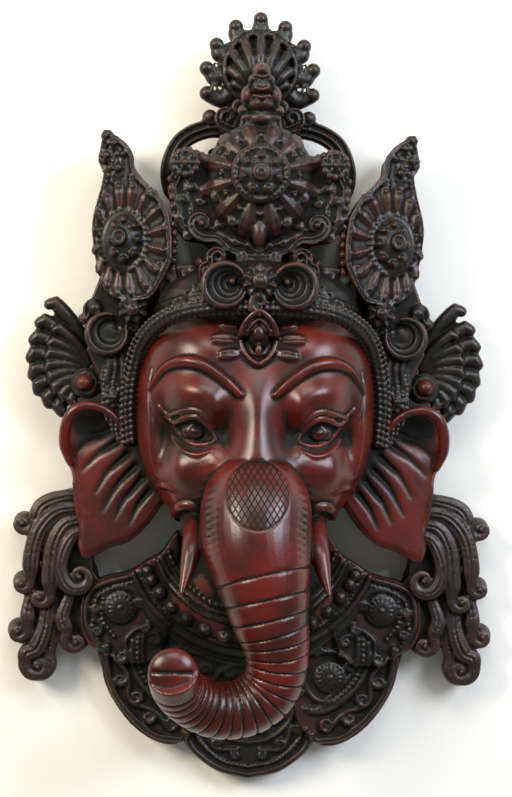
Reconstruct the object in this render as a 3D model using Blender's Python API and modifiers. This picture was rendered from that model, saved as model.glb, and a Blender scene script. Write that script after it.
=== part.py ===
# Elephant mask with crown, ears, shoulder locks and collared chest, one hollow-backed casting.
# It lies on its flat back: X to the viewer's right, Y towards the crown, Z out of the face.
# Run with: blender --background --python part.py

import math

import bmesh
import bpy
from mathutils import Vector
from mathutils.bvhtree import BVHTree

# Driving sizes, in metres.
MASK_HEIGHT = 0.510
FACE_WALL = 0.009

# The carving is a free form, laid out in shares of the height: 510 design units tall.
DESIGN_HEIGHT = 510.0
UNIT = MASK_HEIGHT / DESIGN_HEIGHT

# The casting is cut flat here, and every body reaches below by a little.
BACK_PLANE = 0.0
BELOW_BACK = -6.0
ABOVE_ALL = 400.0

# Head, in design units.
HEAD_CENTRE_Y = -12.0
HEAD_HALF_WIDTH = 77.0
HEAD_TOP_REACH = 82.0
HEAD_LOWER_REACH = 84.0
HEAD_RIM_Z = 44.0
HEAD_DOME = 48.0
HEAD_SEGMENTS = 40
HEAD_RINGS = 24
JAW_TAPER = 0.16

SIDES = (-1, 1)
MASK_RED = (0.16, 0.022, 0.012, 1.0)


def clear_scene():
    for item in list(bpy.data.objects):
        bpy.data.objects.remove(item, do_unlink=True)


def new_collection(name):
    group = bpy.data.collections.new(name)
    bpy.context.scene.collection.children.link(group)
    return group


# Small geometry helpers, all in design units.


def smooth_path(points, steps):
    """A Catmull-Rom curve through the points, with that many steps between two of them."""
    vectors = [Vector(p) for p in points]
    ends = [vectors[0] * 2 - vectors[1]] + vectors + [vectors[-1] * 2 - vectors[-2]]
    path = []
    for i in range(1, len(ends) - 2):
        a, b, c, d = ends[i - 1:i + 3]
        for step in range(steps):
            t = step / steps
            path.append(0.5 * (2 * b + (c - a) * t + (2 * a - 5 * b + 4 * c - d) * t ** 2
                               + (3 * b - a - 3 * c + d) * t ** 3))
    path.append(vectors[-1])
    return path


def closed_path(points, steps):
    """The same curve, closed on itself."""
    count = len(points)
    vectors = [Vector(p) for p in points]
    path = []
    for i in range(count):
        a, b, c, d = [vectors[(i + k) % count] for k in (-1, 0, 1, 2)]
        for step in range(steps):
            t = step / steps
            path.append(0.5 * (2 * b + (c - a) * t + (2 * a - 5 * b + 4 * c - d) * t ** 2
                               + (3 * b - a - 3 * c + d) * t ** 3))
    return path


def polar(centre, radius, degrees):
    angle = math.radians(degrees)
    return (centre[0] + radius * math.cos(angle), centre[1] + radius * math.sin(angle))


def bump(x, y, centre, width, height, drop):
    """One soft push of the surface, mirrored to both sides of the face."""
    dx = (abs(x) - centre[0]) / width
    dy = (y - centre[1]) / height
    return drop * math.exp(-dx * dx - dy * dy)


def make_object(name, mesh, group):
    item = bpy.data.objects.new(name, mesh)
    group.objects.link(item)
    return item


def from_bmesh(name, shape, group):
    """Turns a closed shape in design units into an object in metres."""
    bmesh.ops.scale(shape, vec=(UNIT, UNIT, UNIT), verts=shape.verts)
    bmesh.ops.recalc_face_normals(shape, faces=shape.faces)
    mesh = bpy.data.meshes.new(name)
    shape.to_mesh(mesh)
    shape.free()
    return make_object(name, mesh, group)


def from_curve(name, curve):
    """Turns a filled curve into a welded, closed mesh object."""
    holder = bpy.data.objects.new(name, curve)
    bpy.context.scene.collection.objects.link(holder)
    view = bpy.context.evaluated_depsgraph_get()
    mesh = bpy.data.meshes.new_from_object(holder.evaluated_get(view))
    bpy.data.objects.remove(holder, do_unlink=True)
    bpy.data.curves.remove(curve)
    shape = bmesh.new()
    shape.from_mesh(mesh)
    bpy.data.meshes.remove(mesh)
    bmesh.ops.remove_doubles(shape, verts=shape.verts, dist=0.004)
    return shape


def tube(name, points, radii, group, rings=2, flat=1.0, closed=False):
    """A rod through the points with its own radius at each, pressed flat by a factor along Z."""
    curve = bpy.data.curves.new(name, "CURVE")
    curve.dimensions = "3D"
    curve.bevel_depth = 1.0
    curve.bevel_resolution = rings
    curve.use_fill_caps = True
    spline = curve.splines.new("POLY")
    spline.use_cyclic_u = closed
    spline.points.add(len(points) - 1)
    for point, place, radius in zip(spline.points, points, radii):
        point.co = (place[0], place[1], place[2] / flat, 1.0)
        point.radius = radius
    shape = from_curve(name, curve)
    bmesh.ops.scale(shape, vec=(1.0, 1.0, flat), verts=shape.verts)
    return from_bmesh(name, shape, group)


def plate(name, outline, low, high, group, tilt=0.0, pivot=0.0):
    """A flat outline raised between two levels, its top leaning by tilt per unit of X."""
    curve = bpy.data.curves.new(name, "CURVE")
    curve.dimensions = "2D"
    curve.fill_mode = "BOTH"
    curve.extrude = (high - low) / 2
    spline = curve.splines.new("POLY")
    spline.points.add(len(outline) - 1)
    for point, place in zip(spline.points, outline):
        point.co = (place[0], place[1], 0.0, 1.0)
    spline.use_cyclic_u = True
    shape = from_curve(name, curve)
    middle = (high + low) / 2
    for vert in shape.verts:
        vert.co.z += middle
        if vert.co.z > middle:
            vert.co.z += tilt * (vert.co.x - pivot)
    return from_bmesh(name, shape, group)


def ball(name, centre, radii, group, segments=8, rings=6):
    """A round boss or bead, as a squashed sphere."""
    shape = bmesh.new()
    bmesh.ops.create_uvsphere(shape, u_segments=segments, v_segments=rings, radius=1.0)
    bmesh.ops.scale(shape, vec=radii, verts=shape.verts)
    bmesh.ops.translate(shape, vec=centre, verts=shape.verts)
    return from_bmesh(name, shape, group)


def bead(name, centre, radius, group):
    """The smallest round thing: a twenty-sided bead."""
    shape = bmesh.new()
    bmesh.ops.create_icosphere(shape, subdivisions=1, radius=radius)
    bmesh.ops.translate(shape, vec=centre, verts=shape.verts)
    return from_bmesh(name, shape, group)


def bead_row(name, path, radius, group):
    for i, place in enumerate(path):
        bead(f"{name}_{i}", place, radius, group)


def bead_ring(name, centre, reach, count, radius, z, group):
    for i in range(count):
        turn = 2 * math.pi * i / count
        place = (centre[0] + reach[0] * math.cos(turn), centre[1] + reach[1] * math.sin(turn), z)
        bead(f"{name}_{i}", place, radius, group)


def bead_string(name, path, radius, group):
    """Beads that hang together on their own thread."""
    tube(f"{name}_thread", path, [radius * 0.55] * len(path), group, 0)
    bead_row(name, path, radius, group)


def flower(name, centre, radius, low, high, petals, group):
    """A disc with a scalloped edge and a domed heart."""
    shape = bmesh.new()
    bmesh.ops.create_cone(shape, cap_ends=True, segments=petals * 2, radius1=radius,
                          radius2=radius * 0.82, depth=high - low)
    for vert in shape.verts:
        turn = math.atan2(vert.co.y, vert.co.x)
        scallop = 0.90 + 0.10 * math.cos(turn * petals)
        vert.co.x *= scallop
        vert.co.y *= scallop
    bmesh.ops.translate(shape, vec=(centre[0], centre[1], (high + low) / 2), verts=shape.verts)
    from_bmesh(name, shape, group)
    ball(name + "_heart", (centre[0], centre[1], high), (radius * 0.4, radius * 0.4, radius * 0.3),
         group, 6, 4)


def curl_path(lead, centre, radius, entry, turns, steps=9):
    """The flat route of a scroll: a lead-in that runs into a shrinking spiral."""
    spin = 1 if turns > 0 else -1
    start = Vector(polar(centre, radius, entry))
    along = Vector((-math.sin(math.radians(entry)), math.cos(math.radians(entry)))) * spin
    before = start - along * radius * 0.9
    route = smooth_path([Vector(p) for p in lead] + [before, start], 2)
    total = int(steps * abs(turns))
    for i in range(1, total + 1):
        swept = 360.0 * abs(turns) * i / total
        shrink = math.exp(-1.1 * swept / 360.0)
        route.append(Vector(polar(centre, radius * shrink, entry + spin * swept)))
    return route


def scroll(name, lead, centre, radius, entry, turns, width, z, group, side=1, flat=0.8, lift=0.0):
    """A scrolling lock: full width along the lead-in, thinning with its spiral."""
    route = curl_path(lead, centre, radius, entry, turns)
    hub = Vector(centre)
    points = []
    radii = []
    for i, place in enumerate(route):
        share = i / (len(route) - 1)
        reach = (place - hub).length
        radii.append(max(1.2, min(width, reach * 0.52)) * (0.75 + 0.25 * min(1.0, share * 4)))
        points.append((place.x * side, place.y, z + lift * share))
    return tube(name, points, radii, group, 1, flat)


def ground_of(group):
    """A function giving the height of the bodies built so far, over a point seen from the front."""
    trees = []
    for item in group.objects:
        points = [v.co / UNIT for v in item.data.vertices]
        faces = [tuple(p.vertices) for p in item.data.polygons]
        trees.append(BVHTree.FromPolygons(points, faces))

    def height(x, y):
        hits = [tree.ray_cast(Vector((x, y, ABOVE_ALL)), Vector((0, 0, -1))) for tree in trees]
        return max([hit[0].z for hit in hits if hit[0] is not None], default=0.0)

    return height


def laid(ground, route, lift, side=1):
    """The route's points on that ground, raised by lift."""
    points = []
    for place in route:
        x = place[0] * side
        points.append((x, place[1], ground(x, place[1]) + lift))
    return points


# The head: a sphere pressed into the face's outline, with soft pushes for its features.


def head_outline(angle):
    """How far the face reaches from its centre in one direction."""
    dx = math.cos(angle)
    dy = math.sin(angle)
    reach = HEAD_TOP_REACH if dy > 0 else HEAD_LOWER_REACH
    power = 3.2 if dy > 0 else 2.4
    reach_sum = (abs(dx) / HEAD_HALF_WIDTH) ** power + (abs(dy) / reach) ** power
    radius = reach_sum ** (-1 / power)
    jaw = 1 - JAW_TAPER * max(0.0, -dy) ** 2
    return radius * dx * jaw, radius * dy


def face_relief(x, y):
    """The pushes that turn the dome into the face, in design units of height."""
    total = bump(x, y, (40, 33), 26, 18, 6.0)
    total += bump(x, y, (0, 42), 12, 16, -2.0)
    total += bump(x, y, (40, 3), 20, 11, 9.0)
    total += bump(x, y, (27, -7), 8, 9, 5.0)
    total += bump(x, y, (39, -24), 15, 8, -9.0)
    total += bump(x, y, (19, -24), 6, 16, -6.0)
    total += bump(x, y, (0, -14), 10, 28, 7.0)
    total += bump(x, y, (58, -28), 6, 26, -5.0)
    total += bump(x, y, (68, -25), 6, 34, 4.0)
    total += bump(x, y, (52, -48), 14, 13, 8.0)
    total += bump(x, y, (54, -70), 10, 8, 6.0)
    total += bump(x, y, (0, -46), 32, 20, 14.0)
    return total


def head_point(direction, shrink=0.0, carved=True):
    """Where one point of the unit sphere goes on the head, shrink inside its skin."""
    angle = math.atan2(direction.y, direction.x)
    edge_x, edge_y = head_outline(angle)
    radial = min(1.0, math.hypot(direction.x, direction.y))
    inset = 1 - shrink / HEAD_HALF_WIDTH
    if direction.z >= 0:
        x = edge_x * radial * inset
        y = edge_y * radial * inset
        z = HEAD_RIM_Z + HEAD_DOME * (1 - radial ** 2.4) ** 0.55
        if carved:
            z += face_relief(x, y + HEAD_CENTRE_Y) * min(1.0, direction.z * 2.5)
    else:
        spread = radial ** 0.12
        x = edge_x * spread * inset
        y = edge_y * spread * inset
        z = HEAD_RIM_Z + direction.z * (HEAD_RIM_Z - 2 * BELOW_BACK)
    return Vector((x, y + HEAD_CENTRE_Y, z - shrink))


def head_form(name, group, shrink=0.0, carved=True, segments=HEAD_SEGMENTS, rings=HEAD_RINGS):
    shape = bmesh.new()
    bmesh.ops.create_uvsphere(shape, u_segments=segments, v_segments=rings, radius=1.0)
    for vert in shape.verts:
        vert.co = head_point(vert.co.copy(), shrink, carved)
    return from_bmesh(name, shape, group)


# Trunk, tusks and features of the face.

TRUNK_ROUTE = ((0, -52, 58), (0, -66, 86), (0.5, -88, 97), (5, -113, 103), (9.3, -135, 105),
               (13, -150, 104), (14, -165, 102), (9.5, -180, 100), (-3, -190.5, 101),
               (-21, -193, 105), (-37.5, -186, 113), (-47, -176, 125), (-50, -165.5, 138))
TRUNK_RADII = (25, 34, 34.5, 29.7, 24.5, 21.4, 19.2, 18.6, 18.2, 17.6, 16.8, 16.0, 15.6)
TRUNK_RING_FIRST = 0.27
TRUNK_RING_COUNT = 17
TRUNK_RING_DEPTH = 1.3
TRUNK_TIP_RADII = (14.6, 14.6, 9.0)
TUSK_ROUTE = ((38, -72, 56), (39, -90, 88), (42, -106, 99), (45.6, -121, 107))
TUSK_RADII = (7.2, 6.9, 5.3, 1.6)
SOCKET_CENTRE = (43, -76)
SOCKET_RADIUS = 8
EYE_CENTRE = (39, -21)
BROW_LINE = ((11, 2.4), (22, 12), (35, 20.5), (47.5, 22.5), (59, 18), (69, 4))
LID_LINE = ((26, -26), (33, -15.5), (41, -12), (48, -16), (57.7, -13.6))
THIRD_EYE_CENTRE = (0, 38.5)
THIRD_EYE_HALF = (10.8, 17)


def trunk(group):
    """The trunk, a tapering rod: smooth at its root, then a cut and two shoulders to each ring."""
    fine = 12
    route = smooth_path(TRUNK_ROUTE, fine)
    widths = [w.x for w in smooth_path([(r, 0) for r in TRUNK_RADII], fine)]
    pitch = (1.0 - TRUNK_RING_FIRST) / TRUNK_RING_COUNT
    stations = [(TRUNK_RING_FIRST * i / 4, 0.0) for i in range(4)]
    for ring in range(TRUNK_RING_COUNT):
        start = TRUNK_RING_FIRST + pitch * ring
        stations.append((start, TRUNK_RING_DEPTH))
        stations.append((start + pitch * 0.30, 0.0))
        stations.append((start + pitch * 0.72, 0.0))
    points = []
    radii = []
    for share, cut_depth in stations + [(0.9999, TRUNK_RING_DEPTH)]:
        place = share * (len(route) - 1)
        low = int(place)
        points.append(route[low].lerp(route[low + 1], place - low))
        radii.append(widths[low] + (widths[low + 1] - widths[low]) * (place - low) - cut_depth)
    tube("trunk", points, radii, group, 4)
    tip = route[-1]
    ball("trunk_tip", (tip.x, tip.y, tip.z), TRUNK_TIP_RADII, group, 12, 6)


def tusks(group):
    for side in SIDES:
        points = [(x * side, y, z) for x, y, z in TUSK_ROUTE]
        tube(f"tusk_{side}", points, TUSK_RADII, group, 2)


def face_features(group, ground):
    for side in SIDES:
        brow = smooth_path(BROW_LINE, 2)
        tube(f"brow_{side}", laid(ground, brow, 0.6, side),
             [2.0, 3.0, 3.4, 3.6, 3.6, 3.4, 3.1, 2.8, 2.4, 1.9, 1.4], group, 1)
        x = EYE_CENTRE[0] * side
        y = EYE_CENTRE[1]
        ball(f"eye_{side}", (x, y, ground(x, y) - 0.5), (8.5, 6.2, 5.5), group, 10, 6)
        tube(f"lid_{side}", laid(ground, smooth_path(LID_LINE, 2), 1.2, side),
             [1.6, 2.0, 2.3, 2.4, 2.3, 2.1, 1.8, 1.4, 1.0], group, 1)
        socket = [polar(SOCKET_CENTRE, SOCKET_RADIUS, a) for a in range(-40, 231, 30)]
        tube(f"socket_{side}", laid(ground, socket, -0.5, side), [2.8] * len(socket), group, 1)
        mouth = smooth_path(((66, -60), (58, -56), (47, -62)), 2)
        tube(f"smile_{side}", laid(ground, mouth, -0.5, side), [1.0, 1.8, 2.2, 1.8, 1.0], group, 1)
    third_eye(group, ground)


def third_eye(group, ground):
    """An upright almond with a ball in it, and three double bars on either side."""
    x, y = THIRD_EYE_CENTRE
    rim = []
    for turn in range(0, 360, 30):
        across = math.sin(math.radians(turn))
        along = math.cos(math.radians(turn))
        rim.append((x + THIRD_EYE_HALF[0] * across * (1 - 0.25 * along ** 2),
                    y + THIRD_EYE_HALF[1] * along))
    tube("third_eye_rim", laid(ground, rim, 1.8), [2.1] * len(rim), group, 1, closed=True)
    ball("third_eye_ball", (x, y + 2, ground(x, y) + 1.0), (4.6, 6.5, 5), group, 8, 6)
    for side in SIDES:
        for row, (reach, level, tilt) in enumerate(((17, 50, 0.06), (21, 41.5, 0.0),
                                                    (18.5, 32, -0.05))):
            for step in (-1.9, 1.9):
                bar = [(reach + along, level + step + tilt * along) for along in (-6.5, 6.5)]
                tube(f"bar_{side}_{row}_{step}", laid(ground, bar, 0.8, side), [1.7, 1.7],
                     group, 0)


# Ears: a sheet whose folds sweep down from the inner upper edge, with a rolled upper rim.

EAR_OUTLINE = ((60, -20), (84, -12), (98, -5.5), (110, -3.3), (118, -7), (124, -16), (126, -30),
               (124.5, -41), (119.5, -49), (117.8, -60), (116, -73), (112.8, -86), (113.6, -98),
               (110.5, -105.5), (103, -103.5), (94, -99), (81, -94.5), (71, -86), (62, -74),
               (56, -60))
EAR_CENTRE = (88, -58)
EAR_FOLD_ROOT = (72, 6)
EAR_FOLDS_PER_DEGREE = 16
EAR_BACK_Z = 20.0
EAR_RIM = ((82, -30, 42), (88, -17, 46), (98, -8.5, 48), (110, -6.4, 49), (118.5, -11, 48),
           (122.5, -21, 46), (123, -33, 42), (119.5, -44, 38))
EAR_RIM_RADII = (1.8, 2.0, 2.4, 2.7, 3.0, 3.2, 3.5, 3.7, 3.9, 4.0, 4.0, 3.8, 3.4, 3.0, 2.4)


def ear_height(x, y):
    """The ear's front surface: bowed away from the face, with folds fanning from its root."""
    across = (x - 56) / 70
    turn = math.atan2(y - EAR_FOLD_ROOT[1], x - EAR_FOLD_ROOT[0])
    reach = math.hypot(x - EAR_FOLD_ROOT[0], y - EAR_FOLD_ROOT[1])
    strength = math.exp(-((reach - 60) / 32) ** 2)
    fold = math.cos(turn * EAR_FOLDS_PER_DEGREE + reach * 0.03)
    return 43 - 9 * across ** 2 + 3.0 * fold * strength


def ears(group):
    outline = closed_path(EAR_OUTLINE, 2)
    centre = Vector(EAR_CENTRE)
    rings = 6
    count = len(outline)
    for side in SIDES:
        shape = bmesh.new()
        front = []
        for ring in range(1, rings + 1):
            sink = 3.5 if ring == rings else 0.0
            places = [centre.lerp(edge, ring / rings) for edge in outline]
            front.append([shape.verts.new((p.x * side, p.y, ear_height(p.x, p.y) - sink))
                          for p in places])
        middle = shape.verts.new((centre.x * side, centre.y, ear_height(centre.x, centre.y)))
        back = [shape.verts.new((edge.x * side, edge.y, EAR_BACK_Z)) for edge in outline]
        for i in range(count):
            j = (i + 1) % count
            shape.faces.new((middle, front[0][i], front[0][j]))
            for low, high in zip(front, front[1:]):
                shape.faces.new((low[i], high[i], high[j], low[j]))
            shape.faces.new((front[-1][i], back[i], back[j], front[-1][j]))
        shape.faces.new(back)
        from_bmesh(f"ear_{side}", shape, group)
        rim = [(p.x * side, p.y, p.z) for p in smooth_path(EAR_RIM, 2)]
        tube(f"ear_rim_{side}", rim, EAR_RIM_RADII, group, 1)


# Crown: the masses that carry it, then the ornaments laid on them.

LEAF_HALF = ((0, 182), (10, 180), (14, 172), (23.5, 165), (33, 154), (40, 158), (50, 159),
             (58, 150), (56, 141), (59, 132), (55, 119), (54, 110), (47, 102), (37, 101), (26, 94),
             (12, 89), (0, 86))
LEAF_TOP = 64
CROWN_WALL = ((0, 40), (62, 40), (64, 76), (56, 83), (33, 85), (24, 91), (0, 91))
CROWN_WALL_TOP = 58
LEAF_CENTRE = (0, 142)
SIDE_LEAF = ((70, 62), (60, 76), (55, 88), (55.5, 101), (57.5, 116.5), (64.5, 129.5), (75, 139.5),
             (81.5, 148.5), (82.5, 156.5), (87, 164), (95, 169.5), (100, 170), (102.5, 164),
             (104, 154), (100, 147), (102, 135.5), (107, 117), (107.7, 105.5), (105, 88),
             (100, 70.6), (90, 62))
SIDE_LEAF_CENTRE = (86.5, 100.5)
SIDE_LEAF_TOP = 54
SIDE_LEAF_LEAN = -0.34
CROWN_SIDE = ((58, 82), (106, 78), (111, 62), (106, 46), (110, 30), (102, 14), (98, -14),
              (88, -30), (60, -34))
HALO_ARC = ((8, 170), (22, 177), (37, 176), (51, 168), (58, 153), (57, 138), (48, 128))
HALO_LEVEL = 26
HALO_RADIUS = 5.2
SHELL_CENTRE = (0, 215.5)
SHELL_RADIUS = 26
FLAMES = ((-114, 38.5), (-88.5, 35.5), (-60, 33.6), (-29.5, 33.4), (0, 34.4), (29.5, 33.4),
          (60, 33.6), (88.5, 35.5), (114, 38.5))
FLAME_LEAN = 0.13
FLAME_FOOT_REACH = 20
FLAME_WAIST_REACH = 28
FLAME_LEVEL = 27
FILLET = ((0, 57), (32, 55.5), (55, 50), (70, 38), (77.5, 20), (80.5, -4), (79.5, -28))
FILLET_LEVELS = (91, 89, 82, 66, 54, 48, 44)
FILLET_RADIUS = 4.8


def mirrored(half):
    """A route from the left side to the right, from its right half starting at the middle."""
    left = [(-p[0], *p[1:]) for p in half if p[0] > 0]
    return left[::-1] + list(half)


def crown_masses(group):
    """The dome under the crown, the spine behind the leaf, the leaves and the fillet."""
    ball("crown_mass", (0, 62, 36), (70, 32, 52), group, 20, 12)
    plate("crown_wall", mirrored(CROWN_WALL), BELOW_BACK, CROWN_WALL_TOP, group)
    plate("spine", ((-24, 60), (24, 60), (24, 150), (14, 192), (-14, 192), (-24, 150)),
          BELOW_BACK - 1, 42, group)
    plate("leaf", [(-x, y) for x, y in LEAF_HALF[-2:0:-1]] + list(LEAF_HALF), 30, LEAF_TOP, group)
    ball("leaf_bow", (0, 138, LEAF_TOP - 6), (36, 40, 20), group, 16, 8)
    for side in SIDES:
        plate(f"crown_side_{side}", [(x * side, y) for x, y in CROWN_SIDE], BELOW_BACK - 2, 42,
              group)
        plate(f"side_leaf_{side}", [(x * side, y) for x, y in SIDE_LEAF], 14, SIDE_LEAF_TOP,
              group, SIDE_LEAF_LEAN * side, SIDE_LEAF_CENTRE[0] * side)
        x, y = SIDE_LEAF_CENTRE
        ball(f"medallion_{side}", (x * side, y, SIDE_LEAF_TOP - 4), (15, 20, 12), group, 14, 8)
    fillet = smooth_path([(*place, z) for place, z in zip(FILLET, FILLET_LEVELS)], 2)
    fillet = mirrored([tuple(p) for p in fillet])
    tube("fillet", fillet, [FILLET_RADIUS] * len(fillet), group, 1)


def central_leaf(group, ground):
    flower("rosette", LEAF_CENTRE, 19, 70, 88, 12, group)
    ball("rosette_boss", (*LEAF_CENTRE, 90), (7, 7, 8), group, 10, 6)
    bead_ring("rosette_bead", LEAF_CENTRE, (15.5, 15.5), 12, 3.0, 86, group)
    for i in range(12):
        turn = 15 + 30 * i
        ray = [polar(LEAF_CENTRE, reach, turn) for reach in (18, 26, 34)]
        tube(f"ray_{i}", laid(ground, ray, 0.4), [2.0, 3.6, 4.4], group, 0)
    ball("drop", (0, 107, ground(0, 107)), (5, 9, 6), group, 8, 6)
    for side in SIDES:
        flower(f"leaf_flower_{side}", (47.7 * side, 149), 10.5, 50, 74, 6, group)
        scroll(f"leaf_swirl_{side}", ((20, 95), (27, 101)), (37, 111), 8, -70, 1.0, 2.8, 65,
               group, side)
        chain = smooth_path(((57, 139, 64), (55, 118, 63), (54, 98, 60), (55, 76, 58)), 4)
        bead_string(f"chain_{side}", [(p.x * side, p.y, p.z) for p in chain], 2.7, group)
    for i, (y, radius) in enumerate(((176, 8), (185, 7.5), (194, 6.5), (203, 6.5), (210, 5.5))):
        ball(f"knob_{i}", (0, y, 56), (radius, 6.8, 16), group, 8, 6)
        for side in SIDES:
            bead(f"knob_side_{side}_{i}", ((radius - 0.5) * side, y - 4, 60), 3.8, group)


def halo_and_finial(group):
    """The ring behind the leaf, and the ribbed shell with its flames on top."""
    for side in SIDES:
        arc = smooth_path(HALO_ARC, 2)
        tube(f"halo_{side}", [(p.x * side, p.y, HALO_LEVEL) for p in arc],
             [HALO_RADIUS] * len(arc), group, 1)
        ball(f"halo_ball_{side}", (32.5 * side, 184.5, 28), (5.2, 5.2, 6), group, 6, 4)
        scroll(f"halo_hook_{side}", ((8, 174), (14, 175)), (21, 183), 6, -70, 1.0, 2.8, 44,
               group, side)
    shape = bmesh.new()
    bmesh.ops.create_cone(shape, cap_ends=True, segments=36, radius1=SHELL_RADIUS,
                          radius2=SHELL_RADIUS - 5, depth=30)
    bmesh.ops.translate(shape, vec=(*SHELL_CENTRE, 25), verts=shape.verts)
    from_bmesh("shell", shape, group)
    for i in range(-4, 5):
        turn = 90 - 20 * i
        rib = [polar(SHELL_CENTRE, reach, turn) for reach in (4, 14, 22)]
        tube(f"rib_{i}", [(*rib[0], 41), (*rib[1], 42), (*rib[2], 37)], [1.5, 3.0, 2.5], group, 0)
    for i, (offset, tip_reach) in enumerate(FLAMES):
        foot = 90 - offset * (1 + FLAME_LEAN)
        tip = polar(SHELL_CENTRE, tip_reach, 90 - offset)
        flame = [polar(SHELL_CENTRE, FLAME_FOOT_REACH, foot),
                 polar(SHELL_CENTRE, FLAME_WAIST_REACH, foot), tip]
        tube(f"flame_{i}", [(x, y, FLAME_LEVEL) for x, y in flame], [6.4, 5.4, 4.0], group, 1)
        ball(f"flame_tip_{i}", (*tip, FLAME_LEVEL + 1), (4.8, 4.8, 5), group, 6, 4)


def front_ornaments(group, ground):
    """The flower over the forehead between its two crescent scrolls, and the fillet's beads."""
    flower("front_flower", (0, 73), 12, 80, 106, 8, group)
    scroll("front_hook", ((0, 50), (-3, 54)), (0, 60), 4.8, 180, -0.9, 2.0, 96, group)
    for side in SIDES:
        crescent = [polar((21, 71), 11, a) for a in range(60, 331, 27)]
        tube(f"crescent_{side}", [(x * side, y, 90) for x, y in crescent],
             [2.0, 2.8, 3.8, 4.6, 5.2, 5.6, 5.6, 5.0, 4.0, 3.0, 2.0], group, 1, 1.5)
        ball(f"crescent_eye_{side}", (25 * side, 74, 86), (3.6, 3.6, 6), group, 6, 4)
        scroll(f"front_curl_{side}", ((35, 73), (35, 81)), (25, 88), 5.6, 0, 1.0, 3.0, 69, group,
               side, 2.6)
        ball(f"front_knob_{side}", (37 * side, 86, 62), (3.8, 3.8, 16), group, 6, 4)
        for name, x, y, radius in (("brow", 54, 49, 4.8), ("temple", 78, 26, 5.0),
                                   ("ear", 83, -20, 5.4)):
            bead(f"{name}_hook_{side}", (x * side, y, ground(x * side, y) + 2), radius, group)
        row = smooth_path(FILLET, 3)[1:-1]
        bead_row(f"fillet_bead_{side}", laid(ground, row, 0.8, side), 2.4, group)
    bead("fillet_bead_middle", (0, 56, ground(0, 56) + 0.8), 2.4, group)


def side_leaf_trim(group, ground):
    """Medallion boss, bead oval, petals and knobby bud of the two side leaves."""
    x, y = SIDE_LEAF_CENTRE
    for side in SIDES:
        ball(f"medallion_boss_{side}", ((x + 3) * side, y, ground(x * side, y)), (5.5, 6.5, 5),
             group, 8, 6)
        for i in range(12):
            turn = 2 * math.pi * (i + 0.5) / 12
            across = math.cos(turn)
            along = math.sin(turn)
            bead_place = [(x + 15 * across, y + 20 * along)]
            bead_row(f"medallion_bead_{side}_{i}", laid(ground, bead_place, 0.3, side), 2.7,
                     group)
            petal = [(x + reach * across, y + (reach + 8) * along) for reach in (16, 21)]
            tube(f"side_ray_{side}_{i}", laid(ground, petal, 0.2, side), [2.4, 4.2], group, 0)
        for i, (bud_x, bud_y, radius) in enumerate(((91, 147, 8), (88, 156, 6), (98.5, 155, 6),
                                                    (94, 163, 5.5), (98.5, 168, 4.5))):
            ball(f"bud_{side}_{i}", (bud_x * side, bud_y, 46), (radius, radius, 11), group, 8, 6)


FAN_HUB = (107, 14)
FEATHER_TIPS = ((132, 61), (138.5, 49.5), (143, 39), (145.5, 28), (145, 17), (142.5, 7),
                (136.5, -1.5), (129, -7.5))
FEATHER_LEVEL = 23
FEATHER_SHARES = (0.25, 0.62, 1.0)
INNER_FEATHER_SHARE = 0.66
FAN_BACK_SHARE = 0.86


def side_ornaments(group, ground):
    """Scroll, flower, bead cluster and feathered fan beside the temples."""
    for side in SIDES:
        arc = [polar((95.5, 41), 9.5, a) for a in range(100, -171, -27)]
        tube(f"side_scroll_{side}", [(x * side, y, 42) for x, y in arc],
             [2.2, 3.0, 3.8, 4.6, 4.8, 4.8, 4.6, 4.2, 3.4, 2.6, 2.0], group, 1, 1.5)
        scroll(f"side_curl_{side}", ((108, 42), (111, 50)), (105, 57), 5.4, 0, 1.0, 2.6, 40,
               group, side, 1.4)
        ball(f"side_knob_{side}", (112 * side, 50, 38), (4, 4, 7), group, 6, 4)
        flower(f"side_flower_{side}", (81 * side, 55), 9.5, 34, 60, 8, group)
        cluster = [polar((90.5, -0.5), 5.0, 60 * i) for i in range(6)]
        bead_row(f"cluster_{side}", laid(ground, cluster, 1.0, side), 3.0, group)
        bead(f"cluster_heart_{side}", (90.5 * side, -0.5, ground(90.5 * side, -0.5) + 2.5), 3.6,
             group)
        hub = Vector(FAN_HUB)
        tips = [Vector(tip) for tip in FEATHER_TIPS]
        fan = [hub] + [hub.lerp(tip, FAN_BACK_SHARE) for tip in tips]
        plate(f"fan_back_{side}", [(p.x * side, p.y) for p in fan], 12, 24, group)
        for i, tip in enumerate(tips):
            places = [hub.lerp(tip, share) for share in FEATHER_SHARES]
            tube(f"feather_{side}_{i}", [(p.x * side, p.y, FEATHER_LEVEL) for p in places],
                 [2.6, 4.4, 4.4], group, 1)
            ball(f"feather_tip_{side}_{i}", (tip.x * side, tip.y, FEATHER_LEVEL + 1),
                 (4.6, 4.6, 5.5), group, 6, 4)
            inner = hub.lerp(tip + Vector((1, -5)), INNER_FEATHER_SHARE)
            ball(f"feather_inner_{side}_{i}", (inner.x * side, inner.y, 27), (4.2, 4.2, 6),
                 group, 6, 4)
        ball(f"fan_cup_{side}", (110 * side, 8, 28), (10, 10, 11), group, 10, 6)
        ball(f"fan_ball_{side}", (111 * side, 8, 39), (5.8, 5.8, 6), group, 8, 6)


# Shoulder locks: each a lead-in and a curl, on a slab that follows them.

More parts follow.
